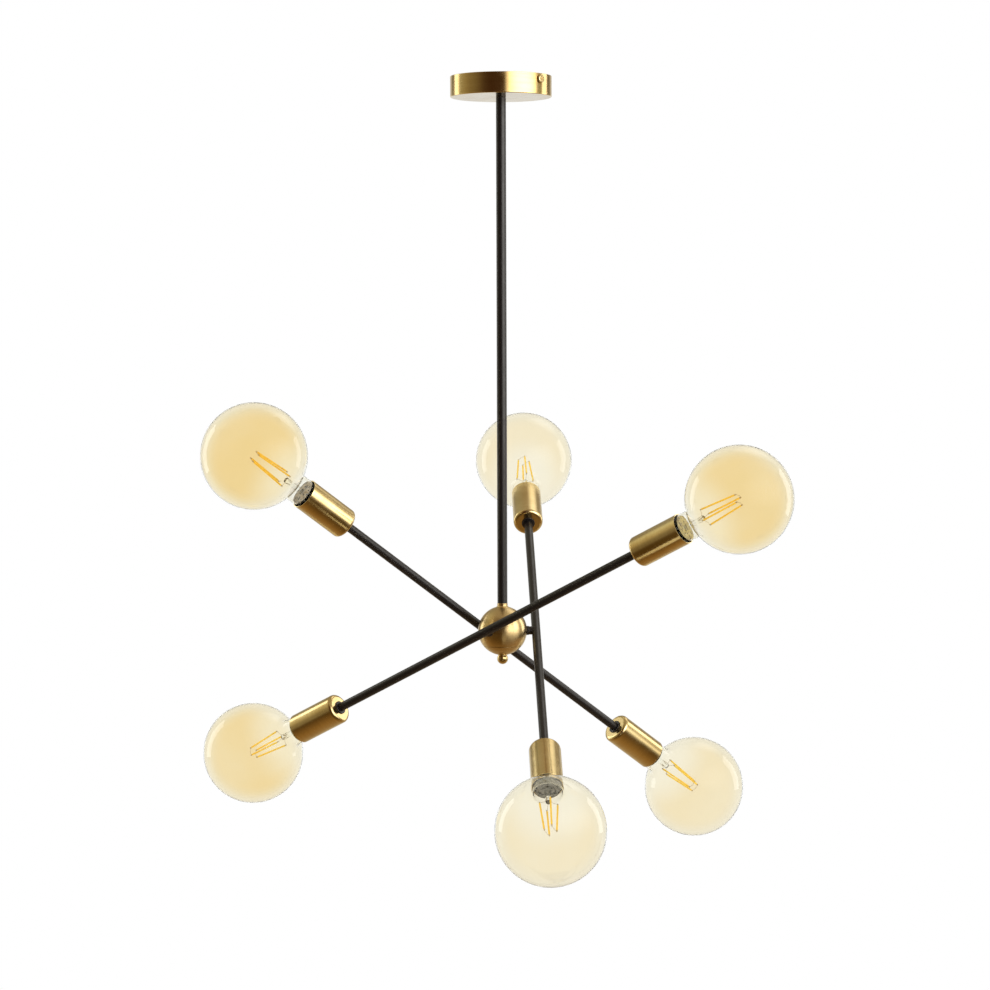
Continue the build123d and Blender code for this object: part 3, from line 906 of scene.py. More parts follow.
@dataclass(frozen=True)
class PaintedGlowResin(Finish):
    """The grainy resin of a filament, with a faint painted glow: the bulb is unlit, and the glow stands in
    for light that reaches the resin through the glass.

    Attributes:
        colour: of the resin.
        deep: colour in its hollows.
        glow: strength of the faint painted glow.
        grains: per metre.
        patches: of deeper colour per metre.
    """

    colour: Colour
    deep: Colour
    glow: float
    grains: float = 2200.0
    patches: float = 240.0

    def paint(self, desk: NodeDesk, shader: bpy.types.Node) -> None:
        """Grains vary the colour and the height, and the colour also glows faintly as painted light."""
        place = desk.place()
        skin = desk.effect(grit(), Place=place, Scale=self.grains)
        colour = desk.blend(desk.clouds(place, self.patches, high=0.8), self.colour, self.deep)
        # Painted glow: the resin gives out its own colour as light, though no lamp is lit in it.
        desk.lead(shader, Base_Color=colour, Roughness=0.45, Emission_Color=colour,
                  Emission_Strength=self.glow, Normal=desk.bump(skin["Height"], 3e-5, 0.6))


@dataclass(frozen=True)
class MottledSheet(Finish):
    """A thin sheet whose cloudy, flecked colour is painted reflection, standing in for the shimmer seen
    inside a bulb's neck, with an uneven gloss.

    Attributes:
        light: colour of its pale parts, painted reflection made bright to make up for the dim light in the
            neck.
        dark: colour of its dark flecks in the painted reflection.
        warm: colour of its warm patches in the painted reflection.
        flecks: per metre.
        warm_patches: warm patches per metre.
        layers: patches of uneven gloss per metre.
    """

    light: Colour
    dark: Colour
    warm: Colour
    flecks: float = 300.0
    warm_patches: float = 110.0
    layers: float = 180.0

    def paint(self, desk: NodeDesk, shader: bpy.types.Node) -> None:
        """Flecks and warm patches set the colour, which is painted reflection, and the layers set the gloss
        and the height.
        """
        place = desk.place()
        flecks = desk.clouds(place, self.flecks)
        # Painted reflection: warm patches and dark flecks over the pale colour stand in for the shimmer seen
        # in the neck.
        warm_shimmer = desk.blend(desk.clouds(place, self.warm_patches, high=0.8), self.light, self.warm)
        desk.lead(shader, Base_Color=desk.blend(desk.between(flecks, 0.45, 1.0), warm_shimmer, self.dark),
                  Roughness=desk.clouds(place, self.layers, 0.22, 0.5), Normal=desk.bump(flecks, 6e-4, 0.7))


SPUN_BRASS = TurnedMetal("spun_brass", Slot.BRASS, (0.75, 0.56, 0.25), (0.6, 0.41, 0.155), 0.12, 0.2)
SATIN_BRASS = TurnedMetal("satin_brass_turned", Slot.BRASS, (0.83, 0.665, 0.35), (0.67, 0.495, 0.22),
                          0.16, 0.25, ring_depth=2e-6)
BALL_BRASS = TurnedMetal("satin_brass_ball", Slot.BRASS, (0.8, 0.62, 0.32), (0.65, 0.465, 0.205),
                         0.27, 0.34, 0.85)
BLACK_COAT = SprayedCoat("black_satin_coat", Slot.BLACK, (0.0125, 0.0098, 0.0098), (0.034, 0.029, 0.028),
                         (0.042, 0.037, 0.035), 0.33)
ZINC_PLATE = TurnedMetal("zinc_plate", Slot.ZINC, (0.66, 0.67, 0.68), (0.48, 0.49, 0.5), 0.26, 0.42)
DARK_STEEL = TurnedMetal("dark_spring_steel", Slot.ZINC, (0.13, 0.125, 0.12), (0.08, 0.075, 0.07), 0.3, 0.45)
NICKEL_PLATE = TurnedMetal("nickel_plate", Slot.NICKEL, (0.7, 0.67, 0.62), (0.52, 0.49, 0.44), 0.2, 0.34)
LEAD_WIRE = TurnedMetal("lead_wire", Slot.NICKEL, (0.66, 0.56, 0.42), (0.48, 0.38, 0.26), 0.3, 0.45)
WHITE_MOULDING = SprayedCoat("white_moulding", Slot.WHITE, (0.78, 0.77, 0.73), (0.82, 0.81, 0.78),
                             (0.6, 0.58, 0.53), 0.45)
LEAD_COVER = SprayedCoat("lead_cover", Slot.LEAD, (0.55, 0.54, 0.5), (0.6, 0.58, 0.55),
                         (0.45, 0.43, 0.4), 0.5)
HOLDER_MOULDING = SprayedCoat("holder_moulding", Slot.HOLDER, (0.03, 0.03, 0.031), (0.06, 0.06, 0.06),
                              (0.09, 0.085, 0.08), 0.48)
CLEAR_GLASS = BlownGlass("clear_stem_glass", Slot.CLEAR, (0.97, 0.985, 0.98), (0.97, 0.985, 0.98),
                         (0.95, 0.965, 0.96), 1.45)
AMBER_GLASS = BlownGlass("amber_globe_glass", Slot.AMBER, (0.97, 0.972, 0.93), (0.933, 0.808, 0.532),
                         (0.97, 0.95, 0.86), 1.18)
# Colours of the neck discs, one set per arm: painted reflection of the shimmer in each bulb's neck, made
# bright for the dim light there.
GOLDEN_NECK_REFLECTION = MottledSheet("golden_mica", Slot.CLEAR,
                           (0.88, 0.74, 0.36), (0.33, 0.22, 0.09), (0.95, 0.75, 0.27))
GREY_NECK_REFLECTION = MottledSheet("grey_mica", Slot.CLEAR,
                         (0.34, 0.345, 0.36), (0.07, 0.07, 0.078), (0.37, 0.36, 0.355))
FLECKED_NECK_REFLECTION = MottledSheet("flecked_mica", Slot.CLEAR,
                            (0.64, 0.57, 0.47), (0.03, 0.025, 0.022), (0.46, 0.34, 0.18))
FILAMENT_RESIN = PaintedGlowResin("filament_resin", Slot.FILAMENT, (0.95, 0.68, 0.1), (0.82, 0.5, 0.04), 0.25)


class Assembly(ABC):
    """A sub-assembly that puts its own pieces into the scene."""

    body: str

    @abstractmethod
    def build(self) -> None:
        """Makes and dresses every piece."""

    def add(self, node: str, surfaces: Sequence[Surface], finish: Finish, name: str = "") -> None:
        """Puts in a piece that stands for a CAD node.

        Args:
            node: the node that it replaces.
            surfaces: its skins.
            finish: what it is dressed in.
            name: of the piece, where the node has more than one.
        """
        skin = merged(surfaces)
        label = name or f"{node}_skin"
        mesh = bpy.data.meshes.new(label)
        corners = np.concatenate([skin.quads.ravel(), skin.triangles.ravel()])
        sizes = np.repeat([4, 3], [len(skin.quads), len(skin.triangles)])
        mesh.vertices.add(len(skin.points))
        mesh.vertices.foreach_set("co", skin.points.astype(np.float32).ravel())
        mesh.loops.add(len(corners))
        mesh.loops.foreach_set("vertex_index", corners.astype(np.int32))
        mesh.polygons.add(len(sizes))
        mesh.polygons.foreach_set("loop_start", (np.cumsum(sizes) - sizes).astype(np.int32))
        mesh.polygons.foreach_set("use_smooth", np.ones(len(sizes), dtype=bool))
        mesh.update(calc_edges=True)
        mesh.attributes.new("lathe", "FLOAT_VECTOR", "POINT").data.foreach_set("vector", skin.lathe.ravel())
        mesh.attributes.new("edge", "FLOAT", "POINT").data.foreach_set("value", skin.edge)
        mesh.attributes.new("tint", "FLOAT", "POINT").data.foreach_set("value", skin.tint)
        if skin.normals is not None:
            mesh.normals_split_custom_set_from_vertices(skin.normals)
        mesh.materials.append(finish.material())
        piece = bpy.data.objects.new(label, mesh)
        bpy.context.scene.collection.objects.link(piece)
        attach(piece, self.body)
        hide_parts(node)
        LOG.info("%s stands for %s on %s, %d faces in %s", label, node, self.body, len(sizes), finish.name)

    def dress(self, node: str, finish: Finish) -> None:
        """Gives a CAD node that keeps its own solid a finish."""
        for place in frame["nodes"][node].material_slots:
            place.material = finish.material()
        LOG.info("%s keeps its solid on %s, in %s", node, self.body, finish.name)


@dataclass
class Canopy(Assembly):
    """The spun ceiling cover, with its bracket, terminal block and side screws."""

    body: str = "fixture"
    wall: float = 0.0012
    stem_hole: float = 0.0052
    lower_round: float = 0.001
    rim_round: float = 0.0004
    floor_round: float = 0.0006
    head_rise: float = 0.0028
    head_round: float = 0.0018
    shank: float = 0.0015
    recess_reach: float = 0.0029
    recess_width: float = 0.0006
    recess_depth: float = 0.0009
    recess_end: float = 0.0003
    recess_edge: float = 0.0001
    recess_land: float = 0.0004

    def shell(self) -> Surface:
        """A shallow pan: a ring section of floor and wall, carried round the stem's line.

        Returns:
            The skin.
        """
        low, high = (np.array(corner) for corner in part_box("canopy"))
        radius, floor = high[0], low[2] + self.wall
        bore = radius - self.wall
        corners = [Corner(low[2], self.stem_hole), Corner(low[2], radius, self.lower_round),
                   Corner(high[2], radius, self.rim_round), Corner(high[2], bore, self.rim_round),
                   Corner(floor, bore, self.floor_round), Corner(floor, self.stem_hole)]
        return turned(STEM_LINE, rounded(corners, closed=True, spacing=0.004), 192, closed=True)

    def screw(self, spindle: Spindle) -> Surface:
        """A pan-head screw: a turned head and shank, with a cross pressed into the head.

        The cross is sunk by depth * max(bar(x) * bar(y)), each bar a smooth box, long one way and thin
        the other.

        Args:
            spindle: its line, pointing out of the canopy.

        Returns:
            The skin.
        """
        span = spindle.span("canopy_screws")
        seat = span.high - self.head_rise
        corners = [Corner(span.low, 0.0), Corner(span.low, self.shank), Corner(seat, self.shank),
                   Corner(seat, span.outer, SOFT_EDGE), Corner(span.high, span.outer, self.head_round),
                   Corner(span.high, 0.0)]
        head = turned(spindle, rounded(corners, spacing=0.00015), 96)
        offset = head.points - spindle.origin
        first, second = np.abs(offset @ spindle.side), np.abs(offset @ spindle.across)
        reach, width, edge = self.recess_reach, self.recess_width, self.recess_edge
        bars = [(1.0 - smooth_step(reach - self.recess_end, reach, long))
                * (1.0 - smooth_step(width - edge, width + edge, thin))
                for long, thin in ((first, second), (second, first))]
        land = span.high - self.recess_land
        on_top = smooth_step(land - 2.0 * edge, land, offset @ spindle.along)
        sink = self.recess_depth * np.maximum(*bars) * on_top
        return replace(head, points=head.points - sink[:, None] * spindle.along, normals=None)

    def build(self) -> None:
        """The cover and its screws are modelled, and what it hides is dressed."""
        points = node_points("canopy_screws")
        along = np.linalg.svd(points - points.mean(axis=0), full_matrices=False)[2][0]
        spindle = Spindle(np.array([0.0, 0.0, points[:, 2].mean()]), along, np.array([0.0, 0.0, 1.0]))
        self.add("canopy", [self.shell()], SPUN_BRASS)
        self.add("canopy_screws", [self.screw(spindle), self.screw(spindle.back)], SATIN_BRASS)
        for node, finish in (("ceiling_bracket", ZINC_PLATE), ("earth_screw", ZINC_PLATE),
                             ("terminal_block", WHITE_MOULDING), ("canopy_nut", ZINC_PLATE)):
            self.dress(node, finish)


@dataclass
class Stem(Assembly):
    """The black tube from the canopy to the hub, and the leads in it."""

    body: str = "fixture"
    bore: float = 0.00505
    edge_round: float = 0.0003

    def tube(self) -> Surface:
        """A long thin ring section, carried round the stem's line."""
        low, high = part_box("stem_tube")
        return ring(STEM_LINE, (low[2], high[2]), (self.bore, high[0]), 64,
                    (FINE_EDGE, self.edge_round, self.edge_round, FINE_EDGE))

    def build(self) -> None:
        """The tube is modelled, and its nipples and leads are dressed."""
        self.add("stem_tube", [self.tube()], BLACK_COAT)
        self.dress("stem_nipples", ZINC_PLATE)
        self.dress("stem_leads", LEAD_COVER)


@dataclass
class Hub(Assembly):
    """The brass ball under the stem, with its cap, its finial and the sleeves that the arms turn in."""

    body: str = "fixture"
    neck: float = 0.0063
    neck_round: float = 0.0025
    bore: float = 0.00505
    wall: float = 0.0044
    seam_bevel: float = 0.00045
    lip_rise: float = 0.004
    lip_gap: float = 0.00005
    waist: float = 0.0052
    stud: float = 0.003
    sleeve_bore: float = 0.004
    shank: float = 0.00499
    spot_margin: float = 0.0005
    washer_bore: float = 0.004
    collar_foot_round: float = 0.00015
    face_band: float = 0.0001

    @property
    def spindle(self) -> Spindle:
        """The upright line through the ball's centre."""
        return Spindle(np.array([0.0, 0.0, frame["joints"][0]["pos_m"][2]]), STEM_LINE.along, STEM_LINE.side)

    @property
    def radius(self) -> float:
        """The ball's radius, as far as the points of its cap stand from its centre."""
        return float(np.linalg.norm(node_points("hub_cap") - self.spindle.origin, axis=1).max())

    @property
    def lip(self) -> float:
        """The radius of the cap's lip, measured on its top face."""
        points = node_points("hub_cap")
        top = points[:, 2] > points[:, 2].max() - self.face_band
        return float(np.hypot(points[top, 0], points[top, 1]).max())

    def height(self, node: str) -> tuple[float, float]:
        """The lowest and highest place of a node, counted from the ball's centre."""
        low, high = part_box(node)
        return low[2] - self.spindle.origin[2], high[2] - self.spindle.origin[2]

    def ball(self) -> Surface:
        """A hollow ball cut off at the seam, with a rounded nook up to its neck.

        The nook's centre is one nook radius out from both the ball and the neck, so its arc touches both.

        Returns:
            The skin.
        """
        seam, top = self.height("hub_ball")
        radius, recess = self.radius, self.lip + self.lip_gap
        nook_out = self.neck + self.neck_round
        nook_up = sqrt((radius + self.neck_round) ** 2 - nook_out ** 2)
        lean = degrees(atan2(nook_out, nook_up))
        inner = radius - self.wall
        inside = sqrt(inner ** 2 - self.bore ** 2)
        start = degrees(acos((seam + self.seam_bevel) / radius))
        seam_edge = sqrt(radius ** 2 - seam ** 2) - self.seam_bevel
        section = joined(rounded([Corner(seam, recess), Corner(seam, seam_edge)]),
                         arc((0.0, 0.0), radius, start, lean, 64),
                         arc((nook_up, nook_out), self.neck_round, 180.0 + lean, 270.0, 9, hollow=True),
                         rounded([Corner(nook_up, self.neck), Corner(top, self.neck, SOFT_EDGE),
                                  Corner(top, self.bore, SOFT_EDGE), Corner(inside, self.bore)]),
                         arc((0.0, 0.0), inner, degrees(atan2(self.bore, inside)),
                             degrees(acos(-sqrt(inner ** 2 - recess ** 2) / inner)), 40, hollow=True))
        return turned(self.spindle, section, 128, closed=True)

    def cap(self) -> Surface:
        """The ball's lower cap: a flat foot, a slice of the ball and the lip that fits inside it.

        Returns:
            The skin.
        """
        foot, top = self.height("hub_cap")
        radius, lip = self.radius, self.lip
        seam = top - self.lip_rise
        land = sqrt(radius ** 2 - foot ** 2)
        low = degrees(acos(foot / radius))
        high = degrees(acos((seam - self.seam_bevel) / radius))
        shoulder = sqrt(radius ** 2 - seam ** 2) - self.seam_bevel
        lip_corners = [Corner(seam, shoulder), Corner(seam, lip), Corner(top, lip), Corner(top, 0.0)]
        section = joined(rounded([Corner(foot, 0.0), Corner(foot, land)]),
                         arc((0.0, 0.0), radius, low, high, 16), rounded(lip_corners))
        return turned(self.spindle, section, 128)

    def finial(self) -> Surface:
        """A turned ball under a waist and a thin collar, with its stud above.

        Returns:
            The skin.
        """
        low, top = self.height("finial")
        radius = float(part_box("finial")[1][0])
        collar_top = self.height("hub_cap")[0]
        collar = sqrt(self.radius ** 2 - collar_top ** 2)
        drop = sqrt(radius ** 2 - self.waist ** 2)
        centre = low + radius
        collar_foot = centre + drop
        section = joined(arc((centre, 0.0), radius, 180.0, degrees(atan2(self.waist, drop)), 40),
                         rounded([Corner(collar_foot, self.waist),
                                  Corner(collar_foot, collar, self.collar_foot_round),
                                  Corner(collar_top, collar), Corner(collar_top, self.stud),
                                  Corner(top, self.stud, WIDE_EDGE), Corner(top, 0.0)]))
        return turned(self.spindle, section, 72)

    def sleeve(self, stub: Spindle) -> Surface:
        """A stepped bush: a shank through the ball's wall, and a wider end that stands on the ball.

        Args:
            stub: its line, pointing out of the ball.

        Returns:
            The skin.
        """
        span = stub.span("swivel_sleeves", STUB_ROOM)
        spot = sqrt(self.radius ** 2 - (span.outer + self.spot_margin) ** 2)
        corners = [Corner(span.low, self.sleeve_bore), Corner(span.low, self.shank), Corner(spot, self.shank),
                   Corner(spot, span.outer, SOFT_EDGE), Corner(span.high, span.outer, WIDE_EDGE),
                   Corner(span.high, self.sleeve_bore)]
        return turned(stub, rounded(corners, closed=True), 64, closed=True)

    def washer(self, stub: Spindle) -> Surface:
        """The thin ring that the arm's boss turns against."""
        span = stub.span("friction_washers", STUB_ROOM)
        return ring(stub, (span.low, span.high), (self.washer_bore, span.outer), 64, (HAIR_EDGE,) * 4)

    def build(self) -> None:
        """The ball, cap, finial, sleeves and washers are modelled, and the connector inside is dressed."""
        stubs = [Spindle(self.spindle.origin, np.array(joint["axis"]), STEM_LINE.along)
                 for joint in frame["joints"]]
        self.add("hub_ball", [self.ball()], BALL_BRASS)
        self.add("hub_cap", [self.cap()], BALL_BRASS)
        self.add("finial", [self.finial()], SATIN_BRASS)
        self.add("swivel_sleeves", [self.sleeve(stub) for stub in stubs], BLACK_COAT)
        self.add("friction_washers", [self.washer(stub) for stub in stubs], DARK_STEEL)
        self.dress("hub_connector", WHITE_MOULDING)


@dataclass(frozen=True)
class Rod:
    """One filament: the points at its foot and its tip, and its angle round the bulb's spindle."""

    foot: Array
    tip: Array
    angle: float

    @property
    def length(self) -> float:
        """From the foot to the tip."""
        return float(np.linalg.norm(self.tip - self.foot))

    def stretch(self, start: float, stop: float, radius: float) -> Surface:
        """A round-ended stretch of it.

        Args:
            start: distance from the foot at which it starts.
            stop: distance at which it ends.
            radius: of the stretch.

        Returns:
            The skin.
        """
        corners = [Corner(start, 0.0), Corner(start, radius, 0.5 * radius),
                   Corner(stop, radius, 0.5 * radius), Corner(stop, 0.0)]
        return turned(Spindle.between(self.foot, self.tip), rounded(corners, spacing=0.002), 20)


GLOBE_TINTS: dict[tuple[ArmSide, End], float] = {
    (ArmSide.REAR, End.HIGH): 1.0, (ArmSide.FRONT, End.HIGH): 0.95, (ArmSide.RIGHT, End.HIGH): 0.5,
    (ArmSide.REAR, End.LOW): 0.58, (ArmSide.FRONT, End.LOW): 0.87, (ArmSide.RIGHT, End.LOW): 0.5}


@dataclass
class Lamp:
    """What an arm carries at one end: a cup, its lampholder, and a globe bulb with four filaments.

    A pair of numbers is a place along the spindle, counted from a part's end, with a radius there, or a
    range of degrees from the globe's far end.
    """

    side: ArmSide
    end: End
    spindle: Spindle
    cup_wall: float = 0.001
    cup_hole: float = 0.0053
    cup_round: float = 0.0045
    collar_bore: float = 0.0053
    holder_round: float = 0.0035
    holder_bore: float = 0.0143
    holder_floor: float = 0.003
    socket_depth: float = 0.031
    lead_hole: float = 0.0025
    chamber: float = 0.01
    tip: float = 0.0048
    tip_rise: float = 0.0015
    tip_round: float = 0.0006
    cone_rise: float = 0.0055
    cone_round: float = 0.001
    cap_wall: float = 0.0007
    cap_gap: float = 0.0003
    thread_pitch: float = 0.0036
    thread_depth: float = 0.0006
    thread_start: float = 0.002
    thread_end: float = 0.003
    glass_wall: float = 0.0009
    glass_gap: float = 0.0002
    glass_root: float = 0.0123
    root_round: float = 0.002
    neck: float = 0.0168
    flare: float = 0.0072
    flare_round: float = 0.004
    neck_length: float = 0.0099
    neck_round: float = 0.012
    far_tint: float = 0.78
    far_turns: tuple[float, float] = (15.0, 62.0)
    neck_turns: tuple[float, float] = (116.0, 158.0)
    foot: float = 0.0112
    foot_rise: float = 0.0009
    foot_flare: tuple[float, float] = (0.004, 0.007)
    pillar: tuple[float, float] = (0.011, 0.004)
    waist: tuple[float, float] = (-0.012, 0.0031)
    press: tuple[float, float] = (-0.005, 0.0036)
    head: float = 0.0033
    head_round: float = 0.002
    flare_ease: float = 0.004
    pillar_ease: float = 0.006
    shield: float = 0.0156
    shield_bore: float = 0.0008
    shield_rise: float = 0.0086
    shield_thickness: float = 0.0003
    rod: float = 0.00105
    rod_gap: float = 0.00055
    rod_foot_ring: float = 0.0105
    rod_tip_ring: float = 0.007
    tip_band: float = 0.002
    foot_ferrule: float = 0.0024
    tip_ferrule: float = 0.0026
    ferrule: float = 0.00084
    resin_foot: float = 0.0022
    resin_tip: float = 0.0024
    lead_radius: float = 0.0002
    lead_root: tuple[float, float] = (-0.009, 0.0016)
    lead_knee: tuple[float, float] = (0.001, 0.002)
    link_rise: float = 0.0016
    link_inset: float = 0.001

    def node(self, piece: str) -> str:
        """The name of a node at this end."""
        return f"{self.side.value}_{self.end.value}_{piece}"

    def pair(self, piece: str) -> str:
        """The name of a node that holds the piece of both ends."""
        return f"{self.side.value}_{piece}"

    def cup(self) -> Surface:
        """A deep turned cup: a ring section with a rounded closed end and a thin open mouth.

        Returns:
            The skin.
        """
        span = self.spindle.span(self.node("cup"))
        bore, floor = span.outer - self.cup_wall, span.low + self.cup_wall
        corners = [Corner(span.low, self.cup_hole), Corner(span.low, span.outer, self.cup_round),
                   Corner(span.high, span.outer, SOFT_EDGE), Corner(span.high, bore, SOFT_EDGE),
                   Corner(floor, bore, self.cup_round - self.cup_wall), Corner(floor, self.cup_hole)]
        return turned(self.spindle, rounded(corners, closed=True, spacing=0.006), 96, closed=True)

    def collar(self) -> Surface:
        """The black ring that clamps the cup on its arm."""
        span = self.spindle.span(self.pair("cup_collars"))
        return ring(self.spindle, (span.low, span.high), (self.collar_bore, span.outer), 72,
                    (FINE_EDGE, WIDE_EDGE, FINE_EDGE, FINE_EDGE))

    def holder(self) -> Surface:
        """The moulded lampholder: an open socket in front, a chamber for the leads behind.

        Returns:
            The skin.
        """
        span = self.spindle.span(self.pair("lampholders"))
        arm_end = self.spindle.span(self.pair("arm_tube")).high
        floor = span.high - self.socket_depth
        back = floor - self.holder_floor
        corners = [Corner(span.low, self.collar_bore), Corner(span.low, span.outer, self.holder_round),
                   Corner(span.high, span.outer, WIDE_EDGE), Corner(span.high, self.holder_bore, WIDE_EDGE),
                   Corner(floor, self.holder_bore), Corner(floor, self.lead_hole),
                   Corner(back, self.lead_hole), Corner(back, self.chamber),
                   Corner(arm_end, self.chamber), Corner(arm_end, self.collar_bore)]
        return turned(self.spindle, rounded(corners, closed=True), 72, closed=True)

    def cap(self) -> Surface:
        """The bulb's screw cap: a contact, a cone and a thin shell with a rolled thread.

        The thread takes depth * (1 - cos(2 pi distance / pitch - angle)) / 2 off the shell's radius, and
        fades out at both of its ends.

        Returns:
            The skin.
        """
        span = self.spindle.span(self.node("bulb_cap"))
        cone_foot, cone_top = span.low + self.tip_rise, span.low + self.cone_rise
        bore = span.outer - self.cap_wall
        floor = self.spindle.span(self.node("globe")).low - self.cap_gap
        thread_stop = span.high - self.thread_end

        def thread(distance: Array, angle: Array) -> Array:
            """The change of radius at each point of the grid."""
            wave = 0.5 - 0.5 * np.cos(2.0 * pi * distance / self.thread_pitch - angle)
            start = smooth_step(cone_top, cone_top + self.thread_start, distance)
            stop = smooth_step(thread_stop - self.thread_end, thread_stop, distance)
            return -self.thread_depth * wave * start * (1.0 - stop)

        corners = [Corner(span.low, 0.0), Corner(span.low, self.tip, self.tip_round),
                   Corner(cone_foot, self.tip, SOFT_EDGE), Corner(cone_top, span.outer, self.cone_round),
                   Corner(span.high, span.outer, SOFT_EDGE), Corner(span.high, bore), Corner(floor, bore),
                   Corner(floor, 0.0)]
        return turned(self.spindle, rounded(corners, spacing=0.0004), 64, lift=thread)

    def globe(self) -> Surface:
        """A blown bulb with a wall: a root, a flare and a neck, a rounded nook and a large ball.

        The nook's centre stands one nook radius out from the neck and from the ball, so its arc touches
        both. The inner skin is the same line one wall further in, travelled back.

        Returns:
            The skin.
        """
        span = self.spindle.span(self.node("globe"))
        root_end = self.spindle.span(self.node("bulb_cap")).high + self.glass_gap
        flare_end = root_end + self.flare
        nook, nook_out = flare_end + self.neck_length, self.neck + self.neck_round
        centre = span.high - span.outer
        lean = degrees(atan2(nook_out, centre - nook))

        def line(inset: float) -> Outline:
            """The section at a depth in from the outer skin."""
            root, neck = self.glass_root - inset, self.neck - inset
            stem = [Corner(span.low, root), Corner(root_end, root, self.root_round),
                    Corner(flare_end, neck, self.flare_round), Corner(nook, neck)]
            bend = arc((nook, nook_out), self.neck_round + inset, 270.0, 360.0 - lean, 10, hollow=True)
            ball = arc((centre, 0.0), span.outer - inset, 180.0 - lean, 0.0, 84)
            return joined(rounded(stem, spacing=0.003), bend, ball)

        section = joined(line(self.glass_wall).flipped, line(0.0))
        turn = np.degrees(np.arctan2(section.place[:, 1], section.place[:, 0] - centre))
        far = self.far_tint + (1.0 - self.far_tint) * smooth_step(*self.far_turns, turn)
        tint = GLOBE_TINTS[self.side, self.end] * far * (1.0 - smooth_step(*self.neck_turns, turn))
        return turned(self.spindle, section, 128, tint=tint)

    def stem(self) -> Surface:
        """The clear glass mount in the bulb: a flared foot, a drawn pillar and a pressed head.

        Returns:
            The skin.
        """
        span = self.spindle.span(self.pair("bulb_stems"))
        foot_top = span.low + self.foot_rise
        bends = [(span.low, self.foot_flare, self.flare_ease), (span.low, self.pillar, self.pillar_ease),
                 (span.high, self.waist, self.pillar_ease), (span.high, self.press, self.flare_ease)]
        corners = [Corner(span.low, 0.0), Corner(span.low, self.foot, WIDE_EDGE),
                   Corner(foot_top, self.foot, WIDE_EDGE),
                   *(Corner(end + rise, radius, ease) for end, (rise, radius), ease in bends),
                   Corner(span.high, self.head, self.head_round), Corner(span.high, 0.0)]
        return turned(self.spindle, rounded(corners, spacing=0.002), 48)

    def reflection_disc(self) -> Surface:
        """The disc round the pillar in the neck, which carries the painted reflection: a thin ring section.
        """
        face = self.spindle.span(self.node("bulb_cap")).high + self.shield_rise
        return ring(self.spindle, (face - self.shield_thickness, face), (self.shield_bore, self.shield), 72,
                    (FINE_EDGE, HAIR_EDGE, HAIR_EDGE, FINE_EDGE), spacing=0.001)

    @property
    def rods(self) -> list[Rod]:
        """The four filaments, a quarter turn apart.

        The first one's angle is a quarter of the mean of 4 times the angles of the points at their tips.

        Returns:
            The filaments in order round the spindle.
        """
        line = self.spindle
        offset = node_points(self.pair("filaments")) - line.origin
        distance = offset @ line.along
        tips = offset[distance > distance.max() - self.tip_band]
        angles = np.arctan2(tips @ line.across, tips @ line.side)
        first = float(np.angle(np.exp(4j * angles).mean()) / 4.0)
        foot = line.span(self.pair("bulb_stems")).high + self.rod_gap
        reach = np.array([foot, line.span(self.pair("filaments")).high])
        radii = np.array([self.rod_foot_ring, self.rod_tip_ring])
        turns = [first + number * pi / 2.0 for number in range(4)]
        return [Rod(*line.point(reach, radii, np.full(2, turn)), turn) for turn in turns]

    def filaments(self) -> list[Surface]:
        """The resin of the rods, which laps a little over their metal ends."""
        rods = self.rods
        return [rod.stretch(self.resin_foot, rods[0].length - self.resin_tip, self.rod) for rod in rods]

    def wires(self) -> list[Surface]:
        """The metal ends of the rods, the leads that spread from the stem's head, and the links at the tips.

        A lead is the curve (1 - t)^2 A + 2 t (1 - t) B + t^2 C from inside the stem to a rod's foot, and a
        link is an arch of height 4 h t (1 - t) from one tip to the next.

        Returns:
            The skins.
        """
        line, rods = self.spindle, self.rods
        head = line.span(self.pair("bulb_stems")).high
        share = np.linspace(0.0, 1.0, 14)[:, None]
        made: list[Surface] = []
        for number, rod in enumerate(rods):
            made.append(rod.stretch(0.0, self.foot_ferrule, self.ferrule))
            made.append(rod.stretch(rod.length - self.tip_ferrule, rod.length, self.ferrule))
            root, knee = (line.point(np.array(head + rise), np.array(out), np.array(rod.angle))
                          for rise, out in (self.lead_root, self.lead_knee))
            path = (1.0 - share) ** 2 * root + 2.0 * share * (1.0 - share) * knee + share ** 2 * rod.foot
            made.append(wire(path, self.lead_radius, line.swing(np.array(rod.angle + pi / 2.0))))
            if number % 2 == 0:
                other = rods[number + 1].tip
                arch = 4.0 * self.link_rise * share * (1.0 - share) * line.along
                inset = (rod.tip - rod.foot) / rod.length * self.link_inset
                path = (1.0 - share) * rod.tip + share * other + arch - inset
                square = np.cross(other - rod.tip, line.along)
                made.append(wire(path, self.lead_radius, square / np.linalg.norm(square)))
        return made


